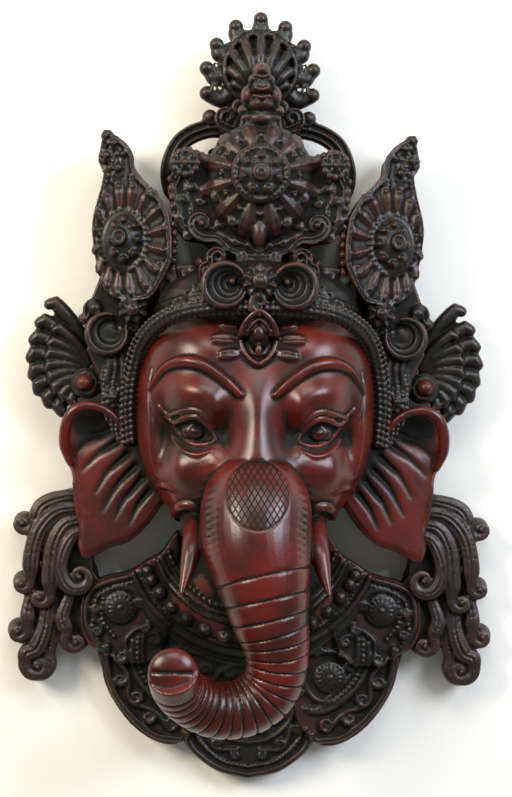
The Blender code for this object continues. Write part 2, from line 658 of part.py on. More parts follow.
LOCKS = (
    ("lock_a", ((108, -66), (124, -67), (139, -73)), (151.6, -84.3), 6.0, 235, 1.25, 5.6, 21),
    ("lock_b", ((108, -74), (128, -76), (140, -88), (145, -106)), (151.4, -124), 6.2, 180, 1.25,
     5.8, 22),
    ("lock_c", ((108, -82), (122, -84), (130, -97), (132.5, -116)), (139, -132.5), 6.8, 180,
     1.25, 5.8, 25),
    ("lock_d", ((108, -89), (118, -92), (124, -103)), (113.3, -118.8), 10.6, -15, -1.3, 5.0, 26),
    ("lock_e", ((144, -126), (147, -142)), (153.8, -156), 6.8, 180, 1.25, 5.4, 19),
    ("lock_f", ((134, -136), (136, -154), (141.5, -167)), (140.2, -178.8), 8.8, 10, -1.35, 6.4, 20),
    ("lock_g", ((119, -130), (124, -145)), (115.3, -162), 7.4, 10, -1.25, 5.4, 21),
    ("lock_h", ((127, -130), (129, -146), (131.5, -160)), (141, -179), 9.0, 170, 0.35, 4.6, 18),
)
LOCK_SLAB = ((102, -60), (122, -62), (140, -67), (148, -78), (149, -98), (151, -116), (150, -140),
             (152, -156), (147, -170), (146, -182), (134, -183), (131, -168), (124, -160),
             (112, -166), (100, -158), (99, -124), (105, -116), (106, -96))
LOCK_SLAB_TOP = 18


def shoulder_locks(group):
    for side in SIDES:
        plate(f"lock_slab_{side}", [(x * side, y) for x, y in LOCK_SLAB], BELOW_BACK - 3,
              LOCK_SLAB_TOP, group)
        for name, lead, centre, radius, entry, turns, width, z in LOCKS:
            scroll(f"{name}_{side}", lead, centre, radius, entry, turns, width, z, group, side, 1.1)
            ball(f"{name}_back_{side}", (centre[0] * side, centre[1], 6),
                 (radius + 1.5, radius + 1.5, 13), group, 8, 4)


# Chest: lobes with raised borders, a neck mound, the collar and its beads.

BOTTOM_LOBE = ((0, -254), (20, -249), (35, -238), (44, -226), (46, -200))
BIG_LOBE = ((30, -150), (96, -158), (98, -180), (92, -198), (79, -216), (64, -227), (50, -230),
            (40, -224), (30, -205))
SMALL_LOBE = ((48, -92), (60, -103), (70, -109), (81, -116), (99, -120.5), (110, -128),
              (112, -152), (100, -168), (60, -170))


CHEST_CENTRE_Y = -160.0
CHEST_RADII = (88, 80)


def chest_level(x, y):
    """The chest swells towards the neck."""
    return 15 + 36 * math.exp(-(x / 62) ** 2 - ((y + 98) / 58) ** 2)


def chest_masses(group):
    plate("bottom_lobe", mirrored(BOTTOM_LOBE), BELOW_BACK - 4, 13, group)
    shape = bmesh.new()
    bmesh.ops.create_uvsphere(shape, u_segments=24, v_segments=16, radius=1.0)
    for vert in shape.verts:
        x = vert.co.x * CHEST_RADII[0]
        y = CHEST_CENTRE_Y + vert.co.y * CHEST_RADII[1]
        reach = min(1.0, math.hypot(vert.co.x, vert.co.y))
        z = chest_level(x, y) * (1 - reach ** 6) if vert.co.z > 0 else 2 * BELOW_BACK
        vert.co = Vector((x, y, z))
    from_bmesh("chest_mound", shape, group)
    for side in SIDES:
        plate(f"big_lobe_{side}", [(x * side, y) for x, y in BIG_LOBE], BELOW_BACK - 5, 18, group)
        plate(f"small_lobe_{side}", [(x * side, y) for x, y in SMALL_LOBE], BELOW_BACK - 6, 23,
              group)


def cord(name, route, width, group, ground):
    tube(name, laid(ground, route, 0.6), [width] * len(route), group, 1)


def rosette(name, centre, radius, group, ground):
    z = ground(*centre)
    flower(name, centre, radius, z - 5, z + 4, 8, group)
    bead_ring(f"{name}_bead", centre, (radius * 0.8, radius * 0.8), 10, radius * 0.2, z + 3.5,
              group)


def chest_trim(group, ground):
    outer = smooth_path(((0, -170), (20, -167), (44, -157), (62, -142), (73, -127), (78, -116)), 2)
    cord("collar_outer", mirrored([tuple(p) for p in outer]), 2.8, group, ground)
    inner = smooth_path(((0, -148), (28, -143), (44, -133), (56, -120), (62, -107)), 2)
    cord("collar_inner", mirrored([tuple(p) for p in inner]), 2.2, group, ground)
    hem = smooth_path(((0, -247), (22, -242), (38, -228)), 3)
    cord("bottom_border", mirrored([tuple(p) for p in hem]), 2.8, group, ground)
    for side in SIDES:
        edge = smooth_path(((92, -162), (90, -190), (76, -211), (62, -221), (46, -222)), 2)
        cord(f"big_border_{side}", [(p.x * side, p.y) for p in edge], 2.8, group, ground)
        inside = smooth_path(((79, -160), (77, -182), (64, -201), (44, -208)), 4)
        bead_row(f"big_bead_{side}", laid(ground, inside, 1.0, side), 2.6, group)
        arc = smooth_path(((101, -123), (104, -138), (98, -154), (88, -162)), 3)
        bead_row(f"small_bead_{side}", laid(ground, arc, 0.8, side), 2.6, group)
        row = smooth_path(((69, -113), (64, -123), (54, -136), (38, -149), (18, -157)), 3)
        bead_row(f"collar_bead_{side}", laid(ground, row, 0.8, side), 3.2, group)
        rosette(f"small_rosette_{side}", (87.5 * side, -137), 11, group, ground)
        rosette(f"big_rosette_{side}", (51.6 * side, -184), 10, group, ground)


# Joining, cutting and finish.

SKIN_TRIANGLES = 8900
SKIN_GRAIN = 0.0012
BACK_CUTTER_SIZE = (600, 700, 100)


def cast_skin(name, group):
    """Pours every body into one closed skin, then lightens it to its share of triangles."""
    pool = bmesh.new()
    for item in list(group.objects):
        pool.from_mesh(item.data)
        bpy.data.objects.remove(item, do_unlink=True)
    mesh = bpy.data.meshes.new(name)
    pool.to_mesh(mesh)
    pool.free()
    holder = make_object(name, mesh, group)
    poured = holder.modifiers.new("one_skin", "REMESH")
    poured.mode = "VOXEL"
    poured.voxel_size = SKIN_GRAIN
    view = bpy.context.evaluated_depsgraph_get()
    count = len(holder.evaluated_get(view).to_mesh().polygons) * 2
    lighter = holder.modifiers.new("fewer_triangles", "DECIMATE")
    lighter.ratio = min(1.0, SKIN_TRIANGLES / count)
    view = bpy.context.evaluated_depsgraph_get()
    skin = bpy.data.meshes.new_from_object(holder.evaluated_get(view))
    bpy.data.objects.remove(holder, do_unlink=True)
    bpy.data.collections.remove(group)
    return skin


def cut(item, cutter):
    modifier = item.modifiers.new("cut", "BOOLEAN")
    modifier.operation = "DIFFERENCE"
    modifier.object = cutter
    modifier.solver = "EXACT"
    cutter.hide_render = True
    cutter.display_type = "WIRE"


def lacquer():
    material = bpy.data.materials.new("red_lacquered_resin")
    material.use_nodes = True
    shader = material.node_tree.nodes["Principled BSDF"]
    shader.inputs["Base Color"].default_value = MASK_RED
    shader.inputs["Roughness"].default_value = 0.35
    shader.inputs["Metallic"].default_value = 0.0
    return material


def build_bodies(group):
    """Masses first, then what is laid on them, then what hangs free in front."""
    head_form("head", group)
    crown_masses(group)
    chest_masses(group)
    ground = ground_of(group)
    face_features(group, ground)
    central_leaf(group, ground)
    halo_and_finial(group)
    front_ornaments(group, ground)
    side_leaf_trim(group, ground)
    side_ornaments(group, ground)
    chest_trim(group, ground)
    shoulder_locks(group)
    ears(group)
    trunk(group)
    tusks(group)


def build():
    clear_scene()
    parts = new_collection("elephant_mask_parts")
    cutters = new_collection("cutters")
    bodies = new_collection("bodies")
    build_bodies(bodies)
    mask = make_object("elephant_mask", cast_skin("elephant_mask", bodies), parts)
    mask.data.materials.clear()
    mask.data.materials.append(lacquer())

    floor = bmesh.new()
    bmesh.ops.create_cube(floor, size=1.0)
    bmesh.ops.scale(floor, vec=BACK_CUTTER_SIZE, verts=floor.verts)
    bmesh.ops.translate(floor, vec=(0, 0, BACK_PLANE - BACK_CUTTER_SIZE[2] / 2), verts=floor.verts)
    cut(mask, from_bmesh("back_cutter", floor, cutters))
    cut(mask, head_form("face_cavity", cutters, FACE_WALL / UNIT, False, 28, 16))
    for polygon in mask.data.polygons:
        polygon.use_smooth = True


build()
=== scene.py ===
# %% [markdown]
# # Elephant mask, cast in resin and lacquered
# A Nepalese deity mask: an elephant's head under a tall crown, with spread ears, scrolling locks on
# the shoulders and a collared chest. The real one is a single casting, painted red-brown, washed
# with black in the hollows and rubbed back on the raised bits. It lies on its flat back here.
# Each region is modelled as many simple closed bodies, which are then poured into one skin. That is
# how the wax for such a casting is built up too, and it rounds every joint in the same soft way.

# %% Load the frame
import math

import bpy
import numpy as np
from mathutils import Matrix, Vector
from mathutils.bvhtree import BVHTree


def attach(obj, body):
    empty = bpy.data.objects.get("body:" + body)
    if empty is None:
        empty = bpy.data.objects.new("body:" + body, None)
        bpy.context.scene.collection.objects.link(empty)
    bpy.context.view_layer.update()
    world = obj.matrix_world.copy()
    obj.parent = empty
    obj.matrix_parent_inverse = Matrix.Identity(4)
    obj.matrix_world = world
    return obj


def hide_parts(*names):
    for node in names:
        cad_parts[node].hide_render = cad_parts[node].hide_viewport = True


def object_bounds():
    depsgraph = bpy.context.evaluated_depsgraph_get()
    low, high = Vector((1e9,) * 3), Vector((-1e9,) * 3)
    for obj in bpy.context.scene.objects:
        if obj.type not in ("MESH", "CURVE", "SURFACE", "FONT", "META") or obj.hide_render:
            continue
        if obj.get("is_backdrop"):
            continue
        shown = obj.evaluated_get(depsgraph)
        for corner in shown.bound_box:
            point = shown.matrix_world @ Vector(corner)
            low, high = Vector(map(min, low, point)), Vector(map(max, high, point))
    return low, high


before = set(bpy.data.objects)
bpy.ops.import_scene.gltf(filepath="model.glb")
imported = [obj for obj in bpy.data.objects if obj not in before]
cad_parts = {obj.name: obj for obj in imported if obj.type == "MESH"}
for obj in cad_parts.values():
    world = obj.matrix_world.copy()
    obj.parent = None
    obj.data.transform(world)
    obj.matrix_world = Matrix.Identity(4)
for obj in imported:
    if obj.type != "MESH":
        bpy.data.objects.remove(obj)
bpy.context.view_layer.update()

# %% [markdown]
# ## A pot of bodies
# All lengths are millimetres until a piece is poured. The pot holds closed bodies, each with the
# share of black paint that it carries. The mask is built on its right side and reflected.

# %% The pot and its reflection
MM = 0.001
pot = []


def put(points, faces, paint):
    pot.append((np.asarray(points, float), faces, paint))


def reflect(mark):
    """Copies the bodies made since the mark to the other side of the face."""
    for points, faces, paint in pot[mark:]:
        put(points * (-1, 1, 1), [tuple(f)[::-1] for f in faces], paint)


# %% Smooth routes and tapers
def route(points, steps, closed=False):
    """A Catmull-Rom curve through the points, with that many steps between two of them."""
    p = np.asarray(points, float)
    if closed:
        a, b, c, d = np.roll(p, 1, 0), p, np.roll(p, -1, 0), np.roll(p, -2, 0)
    else:
        p = np.vstack([2 * p[0] - p[1], p, 2 * p[-1] - p[-2]])
        a, b, c, d = p[:-3], p[1:-2], p[2:-1], p[3:]
    t = (np.arange(steps) / steps)[None, :, None]
    a, b, c, d = (v[:, None, :] for v in (a, b, c, d))
    made = 0.5 * (2 * b + (c - a) * t + (2 * a - 5 * b + 4 * c - d) * t ** 2
                  + (3 * b - a - 3 * c + d) * t ** 3)
    made = made.reshape(-1, p.shape[1])
    return made if closed else np.vstack([made, p[-2]])


def taper(values, count):
    if np.ndim(values) == 0:
        return np.full(count, float(values))
    return np.interp(np.linspace(0, 1, count), np.linspace(0, 1, len(values)), values)


def polar(centre, radius, degrees):
    turn = math.radians(degrees)
    return (centre[0] + radius * math.cos(turn), centre[1] + radius * math.sin(turn))


# %% [markdown]
# ## Sweeps
# Ropes, petals and scrolls are one section pushed along a route. The section decides what it is: a
# circle makes a cord, two humps make the grooved ribbon of the locks, one sharp hump makes a petal.

# %% Sections and the sweep
ROUND = [(math.cos(math.tau * i / 12), math.sin(math.tau * i / 12)) for i in range(12)]
FINE_ROUND = [(math.cos(math.tau * i / 40), math.sin(math.tau * i / 40)) for i in range(40)]
RIBBON = [(-1, -0.8), (1, -0.8), (1.02, 0.2), (0.86, 0.78), (0.6, 1.0), (0.34, 0.76), (0.12, 0.3),
          (-0.12, 0.3), (-0.34, 0.76), (-0.6, 1.0), (-0.86, 0.78), (-1.02, 0.2)]
TRIPLE = [(-1, -0.8), (1, -0.8), (1.0, 0.4), (0.82, 0.85), (0.62, 0.8), (0.42, 0.35), (0.22, 0.85),
          (0, 1.0), (-0.22, 0.85), (-0.42, 0.35), (-0.62, 0.8), (-0.82, 0.85), (-1.0, 0.4)]
PETAL = [(-1, -0.9), (1, -0.9), (1, 0.1), (0.75, 0.5), (0.4, 0.55), (0, 1.0), (-0.4, 0.55),
         (-0.75, 0.5), (-1, 0.1)]
LOCK = [(-1, -0.9), (1, -0.9), (1.02, 0.0), (0.88, 0.62), (0.72, 0.72), (0.55, 0.5), (0.42, 0.78),
        (0.24, 0.95), (0.09, 0.66), (-0.09, 0.66), (-0.24, 0.95), (-0.42, 0.78), (-0.55, 0.5),
        (-0.72, 0.72), (-0.88, 0.62), (-1.02, 0.0)]
SPOON = [(-1, -0.9), (1, -0.9), (1.02, 0.5), (0.82, 0.95), (0.5, 0.7), (0, 0.35), (-0.5, 0.7),
         (-0.82, 0.95), (-1.02, 0.5)]


def sweep(path, width, paint, section=ROUND, flat=1.0, closed=False, round_ends=True):
    """Pushes a section of that half-width along a path, with rounded ends."""
    path = np.asarray(path, float)
    width = taper(width, len(path))
    if closed:
        along = np.roll(path, -1, 0) - np.roll(path, 1, 0)
    else:
        along = np.gradient(path, axis=0)
    along /= np.linalg.norm(along, axis=1)[:, None]
    if round_ends and not closed:
        head, tail = along[0] * width[0], along[-1] * width[-1]
        path = np.vstack([path[0] - head * 0.95, path[0] - head * 0.6, path,
                          path[-1] + tail * 0.6, path[-1] + tail * 0.95])
        width = np.concatenate([width[:1] * 0.3, width[:1] * 0.8, width,
                                width[-1:] * 0.8, width[-1:] * 0.3])
        along = np.vstack([along[:1], along[:1], along, along[-1:], along[-1:]])
    across = np.cross(along, (0.0, 0.0, 1.0))
    across /= np.maximum(np.linalg.norm(across, axis=1), 1e-6)[:, None]
    rise = np.cross(across, along)
    shape = np.asarray(section, float)
    points = path[:, None] + width[:, None, None] * (shape[None, :, :1] * across[:, None]
                                                     + flat * shape[None, :, 1:] * rise[:, None])
    around, rings = len(shape), len(path)
    faces = []
    for i in range(rings if closed else rings - 1):
        here, there = i * around, (i + 1) % rings * around
        for k in range(around):
            m = (k + 1) % around
            faces.append((here + k, here + m, there + m, there + k))
    if not closed:
        faces.append(tuple(range(around))[::-1])
        faces.append(tuple(range((rings - 1) * around, rings * around)))
    put(points.reshape(-1, 3), faces, paint)


# %% [markdown]
# ## Bosses, plates and sheets
# A boss is a squashed ball, and the smallest is a bead. A plate is an outline raised between two
# levels. A sheet fills an outline from its middle and takes its height from a function.

# %% Boss and bead
def ball_form(around, rows):
    points = [(0, 0, 1)]
    for row in range(1, rows):
        tilt = math.pi * row / rows
        for i in range(around):
            turn = math.tau * i / around
            points.append((math.sin(tilt) * math.cos(turn), math.sin(tilt) * math.sin(turn),
                           math.cos(tilt)))
    points.append((0, 0, -1))
    last = len(points) - 1
    faces = []
    for i in range(around):
        j = (i + 1) % around
        faces.append((0, 1 + i, 1 + j))
        for row in range(rows - 2):
            a, b = 1 + row * around, 1 + (row + 1) * around
            faces.append((a + i, b + i, b + j, a + j))
        faces.append((last, last - around + j, last - around + i))
    return np.array(points), faces


BOSS = ball_form(24, 14)
BEAD = ball_form(9, 6)


def boss(centre, radii, paint, form=BOSS):
    put(form[0] * radii + centre, form[1], paint)


def bead(centre, radius, paint):
    boss(centre, (radius, radius, radius), paint, BEAD)


def beads(path, radius, paint):
    for place in path:
        bead(place, radius, paint)


# %% Plate and sheet
def plate(outline, low, high, paint, lean=0.0, pivot=0.0):
    flat = np.asarray(outline, float)
    count = len(flat)
    top = high + lean * (flat[:, 0] - pivot)
    points = np.vstack([np.column_stack([flat, np.full(count, low)]), np.column_stack([flat, top])])
    faces = [tuple(range(count))[::-1], tuple(range(count, 2 * count))]
    faces += [(i, (i + 1) % count, (i + 1) % count + count, i + count) for i in range(count)]
    put(points, faces, paint)


def sheet(outline, centre, level, low, paint, rings=20, sink=2.5):
    """Fills a rounded outline from its centre, with its height from level(x, y)."""
    edge = np.asarray(outline, float)
    count = len(edge)
    points = [(centre[0], centre[1], level(*centre))]
    for ring in range(1, rings + 1):
        share = ring / rings
        for x, y in np.asarray(centre) + (edge - centre) * share:
            points.append((x, y, level(x, y) - sink * max(0.0, share - 0.9) / 0.1))
    points += [(x, y, low) for x, y in edge]
    faces = []
    for i in range(count):
        j = (i + 1) % count
        faces.append((0, 1 + i, 1 + j))
        for ring in range(rings):
            a, b = 1 + ring * count, 1 + (ring + 1) * count
            faces.append((a + i, b + i, b + j, a + j))
    faces.append(tuple(range(1 + rings * count, 1 + (rings + 1) * count))[::-1])
    put(points, faces, paint)


# %% Laying ornaments on the ground below them
def ground_now():
    """A function giving the height of the bodies in the pot over a point, seen from the front."""
    points, faces, start = [], [], 0
    for body, sides, _ in pot:
        points.append(body)
        faces += [tuple(start + k for k in side) for side in sides]
        start += len(body)
    tree = BVHTree.FromPolygons(np.vstack(points).tolist(), faces)

    def height(x, y):
        hit = tree.ray_cast(Vector((x, y, 400.0)), Vector((0, 0, -1)))[0]
        return hit.z if hit else 0.0

    return height


def laid(ground, path, lift):
    return np.array([(p[0], p[1], ground(p[0], p[1]) + lift) for p in path])


def cord(ground, path, lift, width, paint, section=ROUND, flat=1.0, closed=False):
    """A sweep along a path that lies on the ground."""
    sweep(laid(ground, path, lift), width, paint, section, flat, closed)


def ring_path(centre, reach, count, first=0.0):
    reach = (reach, reach) if np.ndim(reach) == 0 else reach
    turns = np.radians(first) + np.arange(count) * math.tau / count
    return np.column_stack([centre[0] + reach[0] * np.cos(turns),
                            centre[1] + reach[1] * np.sin(turns)])


def hoop(centre, reach, count, z, width, paint):
    """A round cord on one level."""
    sweep([(*p, z) for p in ring_path(centre, reach, count)], width, paint, closed=True)


def bead_ring(centre, reach, count, z, radius, paint):
    beads([(*p, z) for p in ring_path(centre, reach, count)], radius, paint)


# %% Snails: a spiral that runs in to its eye
def snail_path(centre, radius, entry, turns, lead=(), steps=22, shrink=1.15):
    spin = 1 if turns > 0 else -1
    total = int(steps * abs(turns))
    coil = []
    for i in range(total + 1):
        swept = 360.0 * abs(turns) * i / total
        coil.append(polar(centre, radius * math.exp(-shrink * swept / 360.0), entry + spin * swept))
    if len(lead):
        start = np.array(coil[0])
        turn = math.radians(entry)
        before = start - np.array((-math.sin(turn), math.cos(turn))) * spin * radius * 0.8
        coil = list(route([*lead, before, start], 8)[:-1]) + coil
    return np.array(coil)


def snail(centre, radius, entry, turns, width, z, paint, lead=(), section=RIBBON, flat=1.0,
          lift=0.0):
    """A scroll of that half-width along its lead, thinning as it winds up."""
    path = snail_path(centre, radius, entry, turns, lead)
    reach = np.hypot(*(path - centre).T)
    share = np.linspace(0, 1, len(path))
    widths = np.clip(np.minimum(width, reach * 0.5), 0.9, None) * np.minimum(1, 0.7 + share * 1.5)
    sweep(np.column_stack([path, z + lift * share]), widths, paint, section, flat)

# %% [markdown]
# ## Pouring a piece
# A voxel remesh melts the bodies into one closed skin, as a casting is. Fine lines are then pressed
# in by moving points, flat parts give up triangles that they don't need, and the back is cut off
# flat. The hollow behind the face is cut out of the face and the crown front.

# %% Head outline, shared by the face and the hollow behind it
HEAD_CENTRE_Y = -12.0
HEAD_HALF_WIDTH = 77.0
HEAD_TOP_REACH = 82.0
HEAD_LOWER_REACH = 84.0
HEAD_RIM_Z = 44.0
HEAD_DOME = 48.0
FACE_WALL = 9.0


def head_outline(turn):
    dx, dy = math.cos(turn), math.sin(turn)
    reach = HEAD_TOP_REACH if dy > 0 else HEAD_LOWER_REACH
    power = 3.2 if dy > 0 else 2.4
    radius = ((abs(dx) / HEAD_HALF_WIDTH) ** power + (abs(dy) / reach) ** power) ** (-1 / power)
    return radius * dx * (1 - 0.16 * max(0.0, -dy) ** 2), radius * dy


FACE_PUSHES = (((40, 33), 26, 18, 6.0), ((0, 42), 12, 16, -2.0), ((40, 3), 20, 11, 9.0),
               ((27, -7), 8, 9, 5.0), ((39, -24), 15, 8, -9.0), ((19, -24), 6, 16, -6.0),
               ((0, -14), 10, 28, 7.0), ((58, -28), 6, 26, -5.0), ((68, -25), 6, 34, 4.0),
               ((52, -48), 14, 13, 8.0), ((54, -70), 10, 8, 6.0), ((0, -46), 32, 20, 14.0))


def face_relief(x, y):
    """The soft pushes that turn a dome into the face."""
    return sum(drop * math.exp(-((abs(x) - cx) / wide) ** 2 - ((y - cy) / tall) ** 2)
               for (cx, cy), wide, tall, drop in FACE_PUSHES)


def head_form(around, rows, paint, shrink=0.0, carved=True):
    points, faces = ball_form(around, rows)
    inset = 1 - shrink / HEAD_HALF_WIDTH
    placed = []
    for dx, dy, dz in points:
        edge_x, edge_y = head_outline(math.atan2(dy, dx))
        radial = min(1.0, math.hypot(dx, dy))
        spread = radial if dz >= 0 else radial ** 0.12
        x, y = edge_x * spread * inset, edge_y * spread * inset
        if dz >= 0:
            z = HEAD_RIM_Z + HEAD_DOME * (1 - radial ** 2.4) ** 0.55
            z += face_relief(x, y + HEAD_CENTRE_Y) * min(1.0, dz * 2.5) if carved else 0.0
        else:
            z = HEAD_RIM_Z + dz * (HEAD_RIM_Z + 12)
        placed.append((x, y + HEAD_CENTRE_Y, z - shrink))
    put(placed, faces, paint)


# %% The pour
def mesh_of(bodies, name):
    points, faces, start = [], [], 0
    for body, sides, _ in bodies:
        points.append(body * MM)
        faces += [tuple(start + k for k in side) for side in sides]
        start += len(body)
    mesh = bpy.data.meshes.new(name)
    mesh.from_pydata(np.vstack(points).tolist(), [], faces)
    return mesh


def place(name, mesh):
    made = bpy.data.objects.new(name, mesh)
    bpy.context.scene.collection.objects.link(made)
    return made


def settle(made):
    """Applies the object's modifiers."""
    view = bpy.context.evaluated_depsgraph_get()
    mesh = bpy.data.meshes.new_from_object(made.evaluated_get(view))
    made.modifiers.clear()
    old, made.data = made.data, mesh
    bpy.data.meshes.remove(old)
    mesh.name = made.name


def columns(values, width=3):
    return values.reshape(-1, width)


def points_of(mesh, normals=False):
    flat = np.empty(len(mesh.vertices) * 3)
    if normals:
        mesh.vertex_normals.foreach_get("vector", flat)
        return columns(flat)
    mesh.vertices.foreach_get("co", flat)
    return columns(flat) / MM


SQUARE = [(-300, -400), (300, -400), (300, 400), (-300, 400)]
keep, pot = pot, []
plate(SQUARE, -120, 0, 0.0)
cut_back = place("cut_back", mesh_of(pot, "cut_back"))
pot = []
head_form(64, 40, 0.0, FACE_WALL, False)
cut_hollow = place("cut_hollow", mesh_of(pot, "cut_hollow"))
pot = keep


def pour(name, grain, budget, press=None, hollow=False, soften=2, shade=None):
    """Melts the pot into one skin of that grain (mm), with at most that many triangles."""
    global pot
    made = place(name, mesh_of(pot, name))
    melt = made.modifiers.new("melt", "REMESH")
    melt.mode = "VOXEL"
    melt.voxel_size = grain * MM
    soft = made.modifiers.new("soften", "SMOOTH")
    soft.factor = 0.5
    soft.iterations = soften
    settle(made)
    if press:
        points = points_of(made.data)
        normals = points_of(made.data, normals=True)
        points += normals * press(points, normals)[:, None]
        made.data.vertices.foreach_set("co", (points * MM).ravel())
    for cutter in (cut_back, cut_hollow)[:2 if hollow else 1]:
        trim = made.modifiers.new("trim", "BOOLEAN")
        trim.operation = "DIFFERENCE"
        trim.object = cutter
        trim.solver = "MANIFOLD"
    settle(made)
    made.data.calc_loop_triangles()
    count = len(made.data.loop_triangles)
    if count > budget:
        lighter = made.modifiers.new("lighten", "DECIMATE")
        lighter.ratio = budget / count
        settle(made)
    made.data.materials.clear()
    for side in made.data.polygons:
        side.use_smooth = True
    mark_paint(made, pot, shade)
    pot = []
    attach(made, "root")
    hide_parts("elephant_mask")
    made.data.calc_loop_triangles()
    print(name, "melted to", count, "triangles, kept", len(made.data.loop_triangles))
    return made


# %% [markdown]
# ## Where the paint sits
# The painter brushed black into every hollow and rubbed the raised bits back to red. So each point
# carries three numbers: the black of the body that it came from, how deep it lies in a hollow, and
# how far it stands out. They come from the shape itself, and painted shade round the eyes, in the
# tusk sockets and in the ears is added to the hollow number.

# %% Marks on the points
NEAR_ROUNDS, WIDE_ROUNDS = 5, 30
FINE_HOLLOW, BROAD_HOLLOW = 0.30, 1.2
FINE_RIDGE, BROAD_RIDGE = 0.35, 1.6


def smoothed(values, ends, times):
    """Averages the values at each point with its neighbours', that many times."""
    count = len(values)
    share = np.bincount(ends.ravel(), minlength=count).astype(float)
    share = np.maximum(share, 1.0)
    values = values.reshape(count, -1).astype(float)
    for _ in range(times):
        total = np.empty_like(values)
        for k in range(values.shape[1]):
            total[:, k] = np.bincount(ends[:, 0], values[ends[:, 1], k], count)
            total[:, k] += np.bincount(ends[:, 1], values[ends[:, 0], k], count)
        values = 0.4 * values + 0.6 * total / share[:, None]
    return values


def keep_mark(mesh, name, values):
    mark = mesh.attributes.new(name, "FLOAT", "POINT")
    mark.data.foreach_set("value", np.asarray(values, np.float32))


def mark_paint(made, bodies, shade):
    mesh = made.data
    points = points_of(mesh)
    # painted shade from the piece's shade function, if it has one
    painted_shade = shade(*points.T) if shade else 0.0
    normals = points_of(mesh, normals=True)
    ends = np.empty(len(mesh.edges) * 2, int)
    mesh.edges.foreach_get("vertices", ends)
    ends = columns(ends, 2)
    near = smoothed(points, ends, NEAR_ROUNDS)
    wide = smoothed(near, ends, WIDE_ROUNDS)
    fine = np.einsum("ij,ij->i", near - points, normals)
    broad = np.einsum("ij,ij->i", wide - points, normals)
    # the hollow mark: black wash in the hollows, plus the painted shade
    keep_mark(mesh, "hollow", np.clip(fine / FINE_HOLLOW, 0, 1) * 0.6
              + np.clip(broad / BROAD_HOLLOW, 0, 1) * 0.6 + painted_shade)
    keep_mark(mesh, "ridge", np.clip(-fine / FINE_RIDGE, 0, 1) * 0.25
              + np.clip(-broad / BROAD_RIDGE, 0, 1) * 0.9)
    corners, faces, owners, start = [], [], [], 0
    for body, sides, paint in bodies:
        corners.append(body)
        for side in sides:
            faces.append(tuple(start + k for k in side))
            owners.append(paint)
        start += len(body)
    tree = BVHTree.FromPolygons(np.vstack(corners).tolist(), faces)
    black = np.zeros(len(points))
    for i, spot in enumerate(points.tolist()):
        found = tree.find_nearest(spot)[2]
        black[i] = owners[found] if found is not None else 0.0
    keep_mark(mesh, "black", smoothed(black, ends, 1)[:, 0])


# %% [markdown]
# ## Face, trunk and tusks
# The head is a ball pressed into the face's outline, with soft pushes for brows, eye sockets and
# cheeks. The trunk is one sweep, and its rings are pressed in after the pour. The eyes, lids and
# brows are laid on the finished head.

# %% Head, trunk and tusks
SKIN = 0.0
INK = 0.96
TRIM = 0.80
EYEBALL = 0.75

head_form(150, 90, SKIN)
face_ground = ground_now()
TRUNK_ROUTE = ((0, -52, 58), (0, -66, 86), (0.5, -88, 97), (5, -113, 103), (9.3, -135, 105),
               (13, -150, 104), (14, -165, 102), (9.5, -180, 100), (-3, -190.5, 101),
               (-21, -193, 105), (-37.5, -186, 113), (-47, -176, 125), (-50, -165.5, 137.4))
TRUNK_WIDTHS = (25, 34, 34.5, 29.7, 24.5, 21.4, 19.2, 18.6, 18.2, 17.6, 16.8, 16.0, 15.6)
trunk_path = route(TRUNK_ROUTE, 12)
trunk_widths = route([(w, 0) for w in TRUNK_WIDTHS], 12)[:, 0]
sweep(trunk_path, trunk_widths, SKIN, FINE_ROUND, round_ends=False)
boss(trunk_path[-1], (15.2, 15.2, 6.9), SKIN)
mark = len(pot)
TUSK_ROUTE = ((38, -72, 56), (39, -90, 88), (42, -106, 99), (45.6, -121, 107))
sweep(route(TUSK_ROUTE, 6), (7.2, 7.1, 6.9, 6.2, 5.0, 3.2, 1.5), SKIN, FINE_ROUND)
socket = route(ring_path((43, -76), 8.2, 10, -40)[:9], 4)
cord(face_ground, socket, 0.4, (2.4, 3.3, 3.6, 3.4, 2.4), SKIN)
# a black boss sunk in each tusk socket is painted shade for its dark hole
boss((42, -77, face_ground(42, -77) - 1.5), (5.6, 5.6, 2.4), 1.0)
reflect(mark)
print("trunk of", len(trunk_path), "stations")

# %% Brows, eyes and smile
mark = len(pot)
brow = route(((11, 2.4), (22, 12), (35, 20.5), (47.5, 22.5), (59, 18), (69, 4)), 8)
cord(face_ground, brow, 0.6, (2.2, 3.4, 3.9, 3.9, 3.3, 2.4, 1.2), SKIN)
eye_x, eye_y = 39.0, -21.0
eye_z = face_ground(eye_x, eye_y)
boss((eye_x, eye_y, eye_z - 0.5), (8.8, 6.2, 5.5), EYEBALL)
hoop((eye_x, eye_y), 3.9, 20, eye_z + 3.9, 0.8, 0.3)
bead((eye_x, eye_y, eye_z + 4.4), 1.6, 0.3)
LIDS = ((((25.6, -26), (31, -17.5), (38, -12.2), (46, -13.5), (52, -16), (58, -12.5)),
         (1.2, 1.9, 2.2, 2.0, 1.6, 0.9), 1.4),
        (((27, -19), (33, -11), (40, -7.8), (49, -9.5), (56, -11), (62, -6)),
         (0.8, 1.3, 1.5, 1.4, 1.1, 0.7), 0.6),
        (((26, -27), (33, -29.5), (41, -29), (48, -24), (53, -18)), (1.0, 1.7, 1.9, 1.5, 0.9), 0.8),
        (((29, -33), (37, -36), (46, -33.5), (54, -26)), (0.8, 1.5, 1.4, 0.7), 0.2))
for points, widths, lift in LIDS:
    cord(face_ground, route(points, 6), lift, widths, SKIN)
cord(face_ground, route(((66, -60), (58, -56), (49, -60)), 6), -0.4, (1.2, 2.4, 1.2), SKIN)
temple = route(((67, 18), (68.5, 2), (67, -16), (66, -34), (63, -50)), 6)
cord(face_ground, temple, -0.3, (1.2, 2.0, 2.2, 2.0, 1.0), SKIN)
reflect(mark)

# %% Third eye and its bars
THIRD_EYE_Y = 38.0


